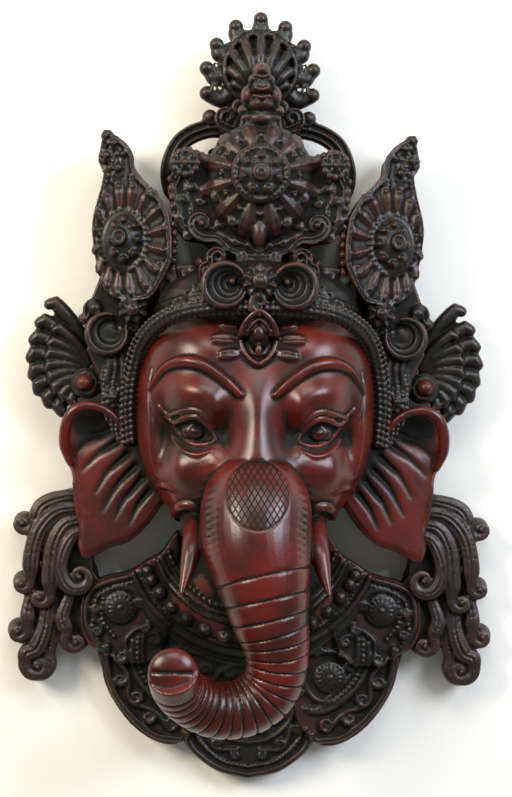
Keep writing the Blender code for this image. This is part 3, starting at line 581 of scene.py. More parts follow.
def over_hairline(x, y):
    """The forehead's height, rising over the hairline above it."""
    return max(face_ground(x, y), 93.5 + 0.3 * (y - 44)) if y > 38 else face_ground(x, y)


rim = []
for turn in np.linspace(0, math.tau, 48, endpoint=False):
    across, along = math.sin(turn), math.cos(turn)
    rim.append((11.2 * across * abs(across) ** 0.4, THIRD_EYE_Y + 16.5 * along))
boss((0, THIRD_EYE_Y + 4, 86), (8.5, 11.5, 8.5), 1.0)
cord(over_hairline, rim, 1.6, 1.9, 0.6, closed=True)
inner_rim = [(x * 0.66, THIRD_EYE_Y + (y - THIRD_EYE_Y) * 0.68) for x, y in rim]
cord(over_hairline, inner_rim, 1.0, 1.1, TRIM, closed=True)
eye_top = over_hairline(0, THIRD_EYE_Y + 3)
boss((0, THIRD_EYE_Y + 3, eye_top + 0.6), (4.2, 5.4, 4.6), TRIM)
snail((0, THIRD_EYE_Y + 3), 3.4, 90, 1.3, 0.9, eye_top + 4.3, TRIM, section=ROUND)
boss((0, THIRD_EYE_Y - 8, eye_top + 0.4), (2.4, 4.4, 2.4), TRIM)
mark = len(pot)
for reach, level, tilt, half in ((18.5, 46.5, 0.16, 4.6), (22.0, 37.0, 0.0, 6.2),
                                 (18.5, 27.5, -0.12, 5.2)):
    for step in (-1.7, 1.7):
        bar = [(reach + half * share, level + step * (1 - 0.25 * abs(share)) + tilt * half * share)
               for share in (-1, -0.5, 0, 0.5, 1)]
        cord(face_ground, bar, 0.6, (1.3, 1.7, 1.8, 1.8, 1.4), 0.5)
    boss((reach, level, face_ground(reach, level) - 1.2), (half + 3, 4.6, 2.0), 1.0)
reflect(mark)


# %% Fine lines pressed into the skin
def line_at(distance, half_width):
    """1 on a line and 0 away from it, from a distance to the line in mm."""
    return np.exp(-(distance / half_width) ** 2)


RING_DEPTH, RING_HALF_WIDTH = 1.15, 0.85
OVAL_Y = -59.0
OVAL_DEPTH, OVAL_HALF_WIDTH = 0.45, 0.7
WRINKLE_DEPTH, WRINKLE_PITCH = 0.5, 4.6
SLIT_DEPTH, SLIT_HALF_WIDTH = 1.6, 1.1
RINGS = (0.245, 0.290, 0.335, 0.378, 0.420, 0.461, 0.500, 0.537, 0.573, 0.607, 0.640, 0.672,
         0.703, 0.733, 0.762, 0.791, 0.820, 0.849, 0.878, 0.907, 0.936)


def trunk_place(points):
    """How far along the trunk each point lies, from 0 to 1, and how far from its middle line."""
    nearest = np.zeros(len(points), int)
    best = np.full(len(points), 1e9)
    for i, spot in enumerate(trunk_path):
        gap = ((points - spot) ** 2).sum(axis=1)
        closer = gap < best
        nearest[closer] = i
        best[closer] = gap[closer]
    along = np.gradient(trunk_path, axis=0)
    step = np.linalg.norm(along, axis=1)
    along /= step[:, None]
    offset = ((points - trunk_path[nearest]) * along[nearest]).sum(axis=1)
    share = (nearest + np.clip(offset / step[nearest], -0.6, 0.6)) / (len(trunk_path) - 1)
    return share, np.sqrt(best), nearest


def press_face(points, normals):
    x, y, z = points.T
    facing = np.clip(normals[:, 2] * 2, 0, 1)
    share, gap, nearest = trunk_place(points)
    on_trunk = np.abs(gap - trunk_widths[nearest]) < 3.0
    tilt = 0.02 * (x - trunk_path[nearest, 0]) / 150 * (y > -160)
    length = np.linalg.norm(np.diff(trunk_path, axis=0), axis=1).sum()
    groove = np.zeros(len(x))
    for ring in RINGS:
        groove = np.maximum(groove, line_at((share + tilt - ring) * length, RING_HALF_WIDTH))
    fade = np.clip((share - 0.2) / 0.05, 0, 1)
    out = -RING_DEPTH * groove * on_trunk * fade
    oval = np.hypot(x / 19.5, (y - OVAL_Y) / 21) * 20 - 20
    out -= OVAL_DEPTH * line_at(oval, OVAL_HALF_WIDTH) * facing
    fold = np.abs(x) - 30 - 0.05 * (y + 80)
    wrinkle = np.sin((y + 0.35 * np.abs(x)) * math.tau / WRINKLE_PITCH)
    side = line_at(fold, 4.5) * line_at(y + 74, 22) * (z > 60)
    out += WRINKLE_DEPTH * wrinkle * side * facing
    cap = trunk_path[-1]
    across = np.hypot(x - cap[0], y - cap[1])
    slit = line_at(y - cap[1] - 1.0, SLIT_HALF_WIDTH) * (across < 12.5) * (z > cap[2] + 2)
    out -= SLIT_DEPTH * slit
    return out


def painted_shade_face(x, y, z):
    """Painted shade round the eyes, in their inner corners and in the tusk sockets."""
    x = np.abs(x)
    eye = 0.20 * np.exp(-((x - 39) / 15) ** 2 - ((y + 22) / 10) ** 2)
    corner = 0.35 * np.exp(-((x - 26) / 6) ** 2 - ((y + 24) / 7) ** 2)
    socket = 0.45 * np.exp(-((x - 42) / 8) ** 2 - ((y + 77) / 8) ** 2) * (z < 80)
    return eye + corner + socket


# the face gets painted shade round the eyes and in the tusk sockets
face = pour("face_and_trunk", 0.85, 186000, press_face, hollow=True, shade=painted_shade_face)

# %% [markdown]
# ## Ears
# Each ear is a sheet with a rolled upper rim and six folds that sweep down and out from its root.
# The folds are narrow valleys that fade towards the edge, so that the black wash can sit in them.
# Painted shade darkens them too, and also the shell under the rim and the root.

# %% Ears
EAR_OUTLINE = ((60, -20), (84, -12), (98, -5.5), (110, -3.3), (118, -7), (124, -16), (126, -30),
               (124.5, -41), (119.5, -49), (117.8, -60), (116, -73), (112.8, -86), (113.6, -98),
               (110.5, -105.5), (103, -103.5), (94, -99), (81, -94.5), (71, -86), (62, -74),
               (56, -60))
EAR_VALLEYS = (((92, -20), (101, -25), (108, -27), (117, -36)),
               ((87, -28), (96, -34), (102, -38), (112, -48)),
               ((82, -37), (91, -45), (96, -50), (103, -62)),
               ((77, -45), (86, -54), (91, -61), (98, -74)),
               ((72, -52), (80, -62), (85, -68), (90, -79)),
               ((68, -61), (74, -69), (77, -74), (81, -83)))
ear_valleys = [route(valley, 10) for valley in EAR_VALLEYS]


def ear_level(x, y):
    level = 43 - 9 * ((x - 56) / 70) ** 2
    level -= 6.5 * math.exp(-((x - 106) / 13) ** 2 - ((y + 20) / 11) ** 2)
    for valley in ear_valleys:
        gaps = np.hypot(valley[:, 0] - x, valley[:, 1] - y)
        share = gaps.argmin() / (len(gaps) - 1)
        gap = gaps.min()
        level -= (3.0 - 2.5 * share) * math.exp(-(gap / 1.7) ** 2)
        level += 0.3 * (1 - share) * math.exp(-((gap - 4.0) / 2.6) ** 2)
    return level


sheet(route(EAR_OUTLINE, 8, closed=True), (90, -55), ear_level, 20, SKIN, 40)
EAR_RIM = ((82, -30, 42), (88, -17, 46), (98, -8.5, 48), (110, -6.4, 49), (118.5, -11, 48),
           (122.5, -21, 46), (123, -33, 42), (119.5, -44, 38))
sweep(route(EAR_RIM, 8), (1.6, 2.2, 2.7, 3.2, 3.7, 4.0, 3.8, 2.4), SKIN)
EAR_EDGE = ((117.5, -56, 34), (116, -66, 34), (114.5, -74, 34), (111.4, -86, 33), (112, -97, 33),
            (109, -103.8, 34), (102.5, -101.8, 35), (94, -97.2, 36), (81, -93, 38), (71, -84.5, 40))
sweep(route(EAR_EDGE, 8), (1.2, 1.9, 2.2, 2.2, 2.0, 1.8, 1.2), SKIN)


def painted_shade_ears(x, y, z):
    """Painted shade in the shell under the rim, at the root, and thinning down the folds."""
    x = np.abs(x)
    shell = 0.62 * np.exp(-((x - 103) / 17) ** 2 - ((y + 19) / 14) ** 2) * (z < 44)
    root = 0.34 * np.exp(-((x - 78) / 12) ** 2 - ((y + 38) / 24) ** 2)
    folds = np.zeros(len(x))
    for valley in ear_valleys:
        gaps = np.hypot(x[:, None] - valley[:, 0], y[:, None] - valley[:, 1])
        fade = 1 - 0.6 * gaps.argmin(axis=1) / len(valley)
        folds = np.maximum(folds, 0.5 * fade * np.exp(-(gaps.min(axis=1) / 3.2) ** 2))
    return shell + root + folds


reflect(0)
# the ears get painted shade under the rim, at the root and down the folds
ears = pour("ears", 0.85, 90000, shade=painted_shade_ears)

# %% [markdown]
# ## Crown front
# The front of the crown is a dome with a shield-shaped leaf standing on it. Its ornaments are cast
# relief: a beaded medallion with rays of petals, rosettes, snails and strings of beads. Most are
# laid on the height of what is already there, so that nothing floats.

# %% Small ornaments
def rosette(centre, radius, low, high, petals, paint):
    """A flower of domed petals round a ringed heart."""
    x, y = centre
    boss((x, y, low), (radius * 0.8, radius * 0.8, high - low), paint)
    for i in range(petals):
        turn = 360 * (i + 0.5) / petals
        inner, outer = polar(centre, radius * 0.42, turn), polar(centre, radius * 0.80, turn)
        wide = radius * 0.80 * math.sin(math.pi / petals)
        rise = (low + high) / 2 + (high - low) * 0.08
        sweep([(*inner, rise + 1.5), (*outer, rise)], (wide * 0.6, wide), paint, PETAL, 1.3)
    hoop(centre, radius * 0.36, 16, high - 0.6, radius * 0.09, paint)
    boss((x, y, high - 0.3), (radius * 0.24, radius * 0.24, radius * 0.24), paint)


def beaded_flower(centre, radius, z, paint, count=10):
    boss((*centre, z - 2), (radius * 0.9, radius * 0.9, 4), paint)
    bead_ring(centre, radius * 0.74, count, z, radius * 0.24, paint)
    bead_ring(centre, radius * 0.36, 6, z + 1.6, radius * 0.17, paint)
    bead((*centre, z + 2.6), radius * 0.24, paint)


def shell_scroll(centre, reach, z, first, last, lean, paint):
    """A scroll of round ridges that step down towards a dark middle, which lies off its centre."""
    for k, (share, width) in enumerate(((1.0, 2.3), (0.74, 1.9), (0.52, 1.6), (0.33, 1.3))):
        middle = (centre[0] + lean[0] * k, centre[1] + lean[1] * k)
        arc = [polar(middle, reach * share, a) for a in np.linspace(first, last, 30)]
        sweep([(x, y, z - 2.2 * k) for x, y in arc],
              (width * 0.5, width, width * 1.15, width * 1.15, width, width * 0.5), paint, flat=1.4)


def seal(centre, radius, z, paint):
    """A round seal: a rim, a toothed ring, a cord and a curled heart."""
    boss((*centre, z - 1), (radius * 0.94, radius * 0.94, 3.0), paint)
    hoop(centre, radius * 0.90, 36, z + 0.6, radius * 0.09, paint)
    for p, q in zip(ring_path(centre, radius * 0.46, 16), ring_path(centre, radius * 0.70, 16)):
        sweep([(*p, z + 2.2), (*q, z + 1.8)], radius * 0.10, paint, flat=1.3)
    hoop(centre, radius * 0.36, 20, z + 2.8, radius * 0.09, paint)
    boss((*centre, z + 2.4), (radius * 0.22, radius * 0.22, 2.2), paint)


def vine(path, size, ground, paint):
    """A wavy stem that throws a curl into each of its bends."""
    path = np.asarray(path, float)[:, :2]
    run = np.concatenate([[0], np.cumsum(np.linalg.norm(np.diff(path, axis=0), axis=1))])
    count = int(run[-1] / (size * 1.75))
    slope = np.gradient(path, axis=0)
    slope /= np.linalg.norm(slope, axis=1)[:, None]
    stem = []
    for k, spot in enumerate((np.arange(count) + 0.5) / count * run[-1]):
        x, y, ax, ay = (np.interp(spot, run, v) for v in (*path.T, *slope.T))
        side = 1 if k % 2 else -1
        heart = (x - ay * side * size * 0.22, y + ax * side * size * 0.22)
        entry = math.degrees(math.atan2(-ax * side, ay * side))
        snail(heart, size * 0.62, entry, 1.35 * side, size * 0.21,
              ground(*heart) + 0.9, paint, section=ROUND, flat=1.3)
        stem.append((x + ay * side * size * 0.42, y - ax * side * size * 0.42))
    sweep(laid(ground, route(stem, 6), 0.7), size * 0.20, paint)


def string_of_beads(path, radius, paint, gap=2.05):
    """Beads spaced along a path, on a thin thread that ties them together."""
    path = np.asarray(path, float)
    run = np.concatenate([[0], np.cumsum(np.linalg.norm(np.diff(path, axis=0), axis=1))])
    count = max(2, int(run[-1] / (radius * gap)) + 1)
    spots = np.linspace(0, run[-1], count)
    even = np.column_stack([np.interp(spots, run, path[:, k]) for k in range(3)])
    sweep(even - (0, 0, radius * 0.4), radius * 0.5, paint)
    beads(even, radius, paint)


def strand(ground, points, lift, radius, gap=2.05):
    """A string of beads laid on the ground."""
    string_of_beads(laid(ground, points, lift), radius, INK, gap)


# %% Crown masses
LEAF_HALF = ((0, 182), (10, 180), (14, 172), (23.5, 165), (33, 154), (40, 158), (50, 159),
             (58, 150), (56, 141), (59, 132), (55, 119), (54, 110), (47, 102), (37, 101), (26, 94),
             (12, 89), (0, 86))
LEAF_CENTRE = (0, 142)


def whole(half):
    """A route from the left to the right, from its right half starting at the middle."""
    return [(-p[0], *p[1:]) for p in half if p[0] > 0][::-1] + [tuple(p) for p in half]


boss((0, 62, 36), (70, 32, 52), INK)
plate(((-62, 40), (62, 40), (64, 76), (56, 84), (34, 86), (26, 91), (-26, 91), (-34, 86),
       (-56, 84), (-64, 76)), -6, 58, INK)
plate(((-24, 60), (24, 60), (24, 150), (14, 192), (-14, 192), (-24, 150)), -7, 42, INK)
plate([(-x, y) for x, y in LEAF_HALF[-2:0:-1]] + list(LEAF_HALF), 30, 64, INK)
boss((0, 138, 58), (36, 40, 20), INK)
head_form(90, 60, SKIN, 1.5)
crown_ground = ground_now()
FILLET = ((0, 57, 91), (32, 55.5, 89), (55, 50, 82), (70, 38, 66), (77.5, 20, 54),
          (80.5, -4, 48), (79.5, -28, 44))
half_fillet = route(FILLET, 8)
sweep(whole(half_fillet), 3.2, INK)
mark = len(pot)
outward = half_fillet[:, :2] / np.linalg.norm(half_fillet[:, :2], axis=1)[:, None]
for drop, lift in ((-3.8, 0.4), (-0.4, 2.6), (3.2, 2.4), (6.4, 0.8)):
    row = np.column_stack([half_fillet[:, :2] + outward * drop, half_fillet[:, 2] + lift])
    string_of_beads(row, 1.7, INK, 2.3)
for drop in (8.0, 11.4):
    row = [p for p in half_fillet[:, :2] + outward * drop if p[1] > 44]
    strand(crown_ground, row, 0.6, 1.6)

# %% The central leaf
border = route([(x * 0.93, 140 + (y - 140) * 0.94) for x, y in LEAF_HALF], 5)
cord(crown_ground, border, 0.4, 1.7, INK, SPOON)
inner_border = route([(x * 0.80, 140 + (y - 140) * 0.82) for x, y in LEAF_HALF], 5)
strand(crown_ground, inner_border, 0.2, 1.3)
for x, y, size, turns in ((17.5, 113.5, 3.6, 1.4), (26.5, 110, 3.2, -1.3), (28, 129, 3.8, 1.4),
                         (50, 126, 4.2, -1.4), (15.5, 100.5, 3.0, 1.3), (46, 104, 3.4, 1.3),
                         (51.5, 115, 3.2, 1.3), (44, 134, 3.6, -1.3), (30, 163, 4.2, -1.3),
                         (20, 172, 3.8, 1.3), (28, 101, 3.2, -1.2), (14, 166, 3.0, 1.3),
                         (37, 160, 3.0, 1.3), (38, 126, 3.2, 1.3)):
    snail((x, y), size, 200, turns, 1.6, crown_ground(x, y) + 0.9, INK)
    bead((x, y, crown_ground(x, y) + 1.6), 1.2, INK)
snail((37, 111), 8.0, -70, 1.5, 2.7, 66, INK, ((20, 95), (27, 101)))
bead((37, 111, 68.5), 2.4, INK)
beaded_flower((47.7, 149), 10.2, 71.5, INK, 12)
boss((47.7, 149, 60), (9.5, 9.5, 11), INK)
chain = route(((57, 139, 64), (55, 118, 63), (54, 98, 60), (55, 76, 58)), 8)
string_of_beads(chain, 2.6, INK)
reflect(mark)

# %% Medallion and its rays
boss((*LEAF_CENTRE, 74), (19.5, 19.5, 13), INK)
hoop(LEAF_CENTRE, 17.6, 48, 81, 1.5, INK)
bead_ring(LEAF_CENTRE, 16.2, 32, 82.6, 1.5, INK)
for i in range(7):
    beaded_flower(polar(LEAF_CENTRE, 10.6, 90 + 360 * i / 7), 4.2, 84.6, INK, 8)
boss((*LEAF_CENTRE, 86), (5.6, 5.6, 6.0), INK)
hoop(LEAF_CENTRE, 4.4, 24, 90.6, 1.2, INK)
hoop(LEAF_CENTRE, 2.0, 16, 91.6, 0.8, INK)
for i in range(12):
    turn = 15 + 30 * i
    ray = [polar(LEAF_CENTRE, reach, turn) for reach in (19, 24, 29, 34, 37.5)]
    cord(crown_ground, ray, 0.8, (2.2, 3.6, 5.0, 5.2, 3.4), INK - 0.2, PETAL, 0.5)
    low = polar(LEAF_CENTRE, 25, turn + 15)
    bead((*low, crown_ground(*low) + 0.6), 2.0, INK)
boss((0, 106, crown_ground(0, 106)), (5.2, 9.5, 5.5), INK)
cord(crown_ground, route(((-8, 112), (-6, 99), (0, 93), (6, 99), (8, 112)), 6), 0.6, 1.3, INK)

# %% Knob stack over the leaf
for y, wide, tall, rise in ((179, 12, 7, 13), (188, 9, 7, 16), (199, 6.8, 7.5, 17),
                            (209.5, 6.4, 6, 16)):
    boss((0, y, 58), (wide, tall, rise), INK)
mark = len(pot)
boss((8.4, 194, 60), (4.8, 6.8, 9), INK)
boss((5.6, 203.5, 62), (3.2, 3.4, 9), INK)
boss((11, 184, 60), (4.2, 4.2, 8), INK)
snail((8, 176), 4.2, 30, 1.3, 1.8, 68, INK)
reflect(mark)
for y, wide in ((192, 5.0), (197, 4.2), (205, 4.4)):
    sweep([(-wide, y, 74.2), (0, y - 1.2, 75.2), (wide, y, 74.2)], 1.2, INK)

# %% Flower and crescents over the forehead
rosette((0, 73), 11, 86, 105, 10, INK)
boss((0, 73, 70), (10, 10, 26), INK)
mark = len(pot)
shell_scroll((21.5, 70.5), 13.2, 94, 150, -165, (-1.2, 0.6), INK)
boss((22, 72, 78), (12, 12, 8), INK)
boss((17, 73, 88), (2.8, 2.8, 4), INK)
snail((26, 89), 5.6, 0, 1.4, 2.5, 76, INK, ((36, 74), (36, 82)), flat=2.4)
boss((26, 89, 64), (6, 6, 12), INK)
boss((37, 86, 62), (3.8, 3.8, 16), INK)
for x, y, size in ((44, 66, 5.2), (52, 60, 4.2), (57, 78, 3.8), (46, 80, 4.6), (12, 90, 4.0)):
    snail((x, y), size, 120, 1.4, 1.9, crown_ground(x, y) + 1.4, INK)
for x, y, radius in ((54, 49, 5.0), (77.5, 27, 5.6), (83, -20, 5.0)):
    snail((x, y), radius, 220, 1.2, 2.1, crown_ground(x, y) + 2.4, INK, section=ROUND, flat=2.0)
reflect(mark)
snail((0, 60), 5.0, 180, -1.2, 2.5, 97.5, INK, ((0, 52.5), (-3, 55)), section=ROUND)
crown = pour("crown_front", 0.8, 190000, hollow=True)

# %% [markdown]
# ## Halo and finial
# Behind the leaf runs a ring of three ridges, and above it stands a ribbed shell with nine flames.

# %% Halo and finial
SHELL = (0, 215.5)
halo = route(((8, 170), (22, 177), (37, 176), (51, 168), (58, 153), (57, 138), (48, 128)), 8)
sweep(np.column_stack([halo, np.full(len(halo), 26)]), 6.0, INK, TRIPLE, 0.9)
boss((32.5, 184.5, 28), (5.0, 5.0, 6), INK)
snail((32.5, 184.5), 4.8, 200, 1.4, 2.0, 31, INK)
snail((21, 183), 7, -70, 1.4, 3.0, 42, INK, ((8, 173), (14, 174)))
snail((13, 190), 4.6, -60, 1.3, 2.2, 44, INK)
reflect(0)
boss((*SHELL, 14), (27, 27, 26), INK)
plate(((-26, 168), (26, 168), (20, 205), (-20, 205)), -6, 30, INK)
hoop(SHELL, 23.5, 60, 33, 1.6, INK)
bead_ring(SHELL, 26.5, 46, 30.5, 1.6, INK)
for i in range(-5, 6):
    turn = 90 - 15.5 * i
    rib = [polar((0, 196.5), reach, turn) for reach in (5, 12, 19, 26, 33, 39)]
    rib = [p for p in rib if math.hypot(p[0], p[1] - SHELL[1]) < 22.0]
    heights = [17.5 + 24.5 * math.sqrt(max(0.05, 1 - (math.hypot(p[0], p[1] - SHELL[1]) / 27) ** 2))
               for p in rib]
    if len(rib) > 1:
        sweep([(*p, z) for p, z in zip(rib, heights)],
              (1.4, 2.3, 3.1, 3.5, 3.6, 3.2)[:len(rib)], INK)
FLAMES = ((-114, 38.5), (-88.5, 35.5), (-60, 33.6), (-29.5, 33.4), (0, 34.4), (29.5, 33.4),
          (60, 33.6), (88.5, 35.5), (114, 38.5))
for offset, reach in FLAMES:
    foot, tip = 90 - offset * 1.13, 90 - offset
    flame = [polar(SHELL, 21, foot), polar(SHELL, 26, foot), polar(SHELL, reach * 0.4 + 16, foot),
             polar(SHELL, reach - 3, foot * 0.4 + tip * 0.6), polar(SHELL, reach, tip)]
    sweep([(x, y, 26.5) for x, y in route(flame, 4)], (6.4, 6.2, 5.6, 5.0, 4.6), INK, flat=1.05)
    boss((*polar(SHELL, reach - 0.4, tip), 27.5), (4.9, 4.9, 5.4), INK)
    for share, wide in ((-7.6, 4.6), (-4.4, 4.2)):
        cut = [polar(SHELL, reach + share + bow, tip + turn) for turn, bow in
               ((-wide * 1.5, -1.2), (0, 0), (wide * 1.5, -1.2))]
        sweep([(x, y, 31.2) for x, y in cut], 0.9, INK)
    for turn in (-6.5, 6.5):
        boss((*polar(SHELL, 27.4, foot + turn), 27), (3.0, 3.0, 4.4), INK)
finial = pour("halo_and_finial", 0.8, 110000)

# %% [markdown]
# ## Side leaves, scrolls and fans
# Each side leaf is turned outward by about twenty degrees, so its plate leans, and carries an oval
# medallion in a ring of petals with a berry-like bud on top. A scroll, a flower and a fan of eight
# feathers stand beside the temple.

# %% Side leaf
SIDE_LEAF = ((70, 62), (60, 76), (55, 88), (55.5, 101), (57.5, 116.5), (64.5, 129.5), (75, 139.5),
             (81.5, 148.5), (82.5, 156.5), (87, 164), (95, 169.5), (100, 170), (102.5, 164),
             (104, 154), (100, 147), (102, 135.5), (107, 117), (107.7, 105.5), (105, 88),
             (100, 70.6), (90, 62))
CROWN_SIDE = ((58, 82), (102, 78), (108, 62), (106, 46), (110, 30), (102, 14), (98, -14),
              (88, -30), (60, -34))
mx, my = 86.5, 100.5
plate(CROWN_SIDE, -8, 42, INK)
plate(SIDE_LEAF, 14, 54, INK, -0.34, mx)
boss((mx, my, 50), (15, 20, 12), INK)
side_ground = ground_now()
edge = [(84 + (x - 84) * 0.92, my + 8 + (y - my - 8) * 0.95) for x, y in SIDE_LEAF]
cord(side_ground, route(edge, 5, closed=True), 0.3, 1.6, INK, SPOON, closed=True)
cord(side_ground, ring_path((mx, my), (13.4, 17.8), 40), 0.4, 1.1, INK, closed=True)
beads(laid(side_ground, ring_path((mx, my), (15.2, 20.0), 34), 0.5), 1.5, INK)
for p in ring_path((mx, my), (8.6, 12.2), 8):
    beaded_flower(tuple(p), 3.4, side_ground(*p) + 0.6, INK, 6)
knob = (mx + 3, my + 1)
knob_z = side_ground(*knob)
boss((*knob, knob_z), (5.2, 6.0, 4.6), INK)
hoop(knob, (3.6, 4.2), 20, knob_z + 3.9, 1.1, INK)
for i in range(16):
    turn = math.tau * (i + 0.5) / 16
    across, along = math.cos(turn), math.sin(turn)
    outer = (19.0 if across > 0 else 26.0, 35.0)
    petal = [(mx + (16.5 + share * (outer[0] - 16.5)) * across,
              my + (21.5 + share * (outer[1] - 21.5)) * along) for share in (0, 0.35, 0.7, 1.0)]
    cord(side_ground, petal, 0.5, (1.5, 2.6, 3.5, 2.8), INK - 0.2, PETAL, 0.7)
    bead((*petal[-1], side_ground(*petal[-1]) + 1.4), 1.7, INK)
for x, y, radius in ((91, 147, 8), (88, 156, 6), (98.5, 155, 6), (94, 163, 5.5), (98.5, 168, 4.5)):
    boss((x, y, 44), (radius, radius, 10), INK)
    for p in ring_path((x, y), radius * 0.62, 6):
        bead((*p, 51.5), radius * 0.34, INK)
    bead((x, y, 54), radius * 0.36, INK)
for x, y, size in ((72, 70, 3.8), (63, 83, 3.2), (97, 70, 3.6), (82, 139, 3.4), (94, 139, 3.4),
                   (60, 108, 2.8), (68, 129, 3.0)):
    snail((x, y), size, 60, 1.4, 1.5, side_ground(x, y) + 0.9, INK)

# %% Scroll, flower and fan
shell_scroll((96.5, 40.6), 12.6, 47, 105, -195, (-1.2, 0.8), INK)
boss((96.5, 41, 36), (12, 12, 9), INK)
boss((105, 57, 38), (6.0, 6.0, 9), INK)
snail((105, 57), 5.4, 0, 1.4, 2.5, 41, INK, ((108, 42), (111, 50)), flat=1.4)
boss((112, 50, 38), (4, 4, 7), INK)
rosette((80, 56), 9.0, 46, 61, 8, INK)
boss((80, 56, 36), (8.4, 8.4, 18), INK)
beaded_flower((91, -0.5), 8.2, side_ground(91, -0.5) + 1.6, INK, 9)
hair = route([(x, y) for x, y, _ in FILLET], 8)
hair_out = hair / np.linalg.norm(hair, axis=1)[:, None]
for drop in (6.8, 9.8, 12.8, 15.8, 18.8):
    row = [p for p in hair + hair_out * drop if p[1] < 46 and side_ground(*p) > 30]
    strand(side_ground, row, 0.5, 1.45)
for x in (86.5, 91, 95.5):
    tassel = route(((x + 1, 27), (x - 0.6, 20), (x + 0.4, 10)), 6)
    cord(side_ground, tassel, 0.6, (1.6, 2.2, 1.4), INK)
FAN = (107.0, 14.0)
FEATHER_TIPS = ((132, 61), (138.5, 49.5), (143, 39), (145.5, 28), (145, 17), (142.5, 7),
                (136.5, -1.5), (129, -7.5))
fan_edge = [(FAN[0] + 0.93 * (x - FAN[0]), FAN[1] + 0.93 * (y - FAN[1])) for x, y in FEATHER_TIPS]
plate([FAN] + fan_edge, 12, 24, INK)
for i, tip in enumerate(FEATHER_TIPS):
    away = math.degrees(math.atan2(tip[1] - FAN[1], tip[0] - FAN[0]))
    long = math.dist(tip, FAN)
    for length, low, wide, offset in ((long, 22, 5.5, 0), (long * 0.70, 27, 4.0, -7.5)):
        end = polar(FAN, length, away + offset)
        hook = polar(end, wide * 0.75, away + offset - 80)
        feather = [polar(FAN, share * length, away + offset + 30 * (1 - share) ** 1.3)
                   for share in (0.20, 0.36, 0.52, 0.68, 0.82, 0.94)] + [end, hook]
        sweep([(x, y, low + 1.4 * k / 7) for k, (x, y) in enumerate(route(feather, 3)[::3])],
              [wide * part for part in (0.36, 0.56, 0.76, 0.88, 0.94, 0.92, 0.86, 0.72)], INK,
              flat=1.1)
boss((110, 8, 27), (10.0, 10.0, 9), INK)
for reach, level in ((9.0, 33.2), (7.0, 35.2)):
    hoop((110.8, 8.4), reach, 30, level, 1.1, INK)
boss((111.6, 8.8, 37), (5.2, 5.0, 6), 0.15)
reflect(0)
sides = pour("side_leaves_and_fans", 0.8, 172000)

# %% [markdown]
# ## Shoulder locks
# Locks of hair run out from behind the ears and wind up as snails. Their section has four ridges
# with grooves between, which the brush leaves dark.

# %% Locks
PLUM = 0.62
LOCKS = (
    (((108, -66), (124, -67), (139, -73)), (151.6, -84.3), 6.0, 235, 1.25, 5.4, 21),
    (((108, -74), (128, -76), (140, -88), (145, -106)), (151.4, -124), 6.2, 180, 1.25, 5.8, 22),
    (((108, -82), (122, -84), (130, -97), (132.5, -116)), (139, -132.5), 6.8, 180, 1.25, 5.8, 25),
    (((108, -89), (118, -92), (124, -103)), (113.3, -118.8), 10.6, -15, -1.3, 5.0, 26),
    (((144, -126), (147, -142)), (153.8, -156), 6.8, 180, 1.25, 5.2, 19),
    (((134, -136), (136, -154), (141.5, -167)), (140.2, -178.8), 8.8, 10, -1.35, 6.2, 20),
    (((119, -130), (124, -145)), (115.3, -162), 7.4, 10, -1.25, 5.4, 21),
    (((127, -130), (129, -146), (131.5, -160)), (141, -179), 9.0, 170, 0.35, 4.6, 18),
)
LOCK_SLAB = ((102, -60), (122, -62), (140, -67), (148, -78), (149, -98), (151, -116), (150, -140),
             (152, -156), (147, -170), (146, -182), (134, -183), (131, -168), (124, -160),
             (112, -166), (100, -158), (99, -124), (105, -116), (106, -96))
plate(LOCK_SLAB, -9, 18, INK)
for lead, centre, radius, entry, turns, width, z in LOCKS:
    boss((*centre, 6), (radius + 1.0, radius + 1.0, 13), PLUM)
    snail(centre, radius, entry, turns, width, z, PLUM, lead, LOCK, 0.95)
    bead((*centre, z + 2.6), 1.8, PLUM)
reflect(0)
locks = pour("shoulder_locks", 0.85, 110000)

# %% [markdown]
# ## Chest
# The chest swells under the throat and ends in five lobes. A collar of two cords with a row of
# seals between them crosses it, and vines, strings of beads and raised hems follow the lobes.

# %% Chest masses
BOTTOM_LOBE = ((0, -253.3), (20, -248.6), (35, -238), (44, -226), (46, -200))
BIG_LOBE = ((30, -150), (96, -158), (98, -180), (92, -198), (79, -216), (64, -227), (50, -230),
            (40, -224), (30, -205))
SMALL_LOBE = ((48, -92), (60, -103), (70, -109), (81, -116), (99, -120.5), (110, -128),
              (112, -152), (100, -168), (60, -170))
FIELD = 0.62


def chest_level(x, y):
    return 15 + 36 * math.exp(-(x / 62) ** 2 - ((y + 98) / 58) ** 2)


plate(whole(route(BOTTOM_LOBE, 6)), -10, 13, INK)
points, faces = ball_form(72, 48)
mound = []
for dx, dy, dz in points:
    x, y = dx * 87, -160 + dy * 79
    reach = min(1.0, math.hypot(dx, dy))
    mound.append((x, y, chest_level(x, y) * (1 - reach ** 6) if dz > 0 else -12))
put(mound, faces, SKIN)
mark = len(pot)
plate(route(BIG_LOBE, 4, closed=True), -11, 18, FIELD)
plate(route(SMALL_LOBE, 4, closed=True), -12, 23, FIELD)
reflect(mark)
chest_ground = ground_now()

# %% Collar
def half_row(*points):
    """A row across the chest, from its right half."""
    return whole(route(points, 8))


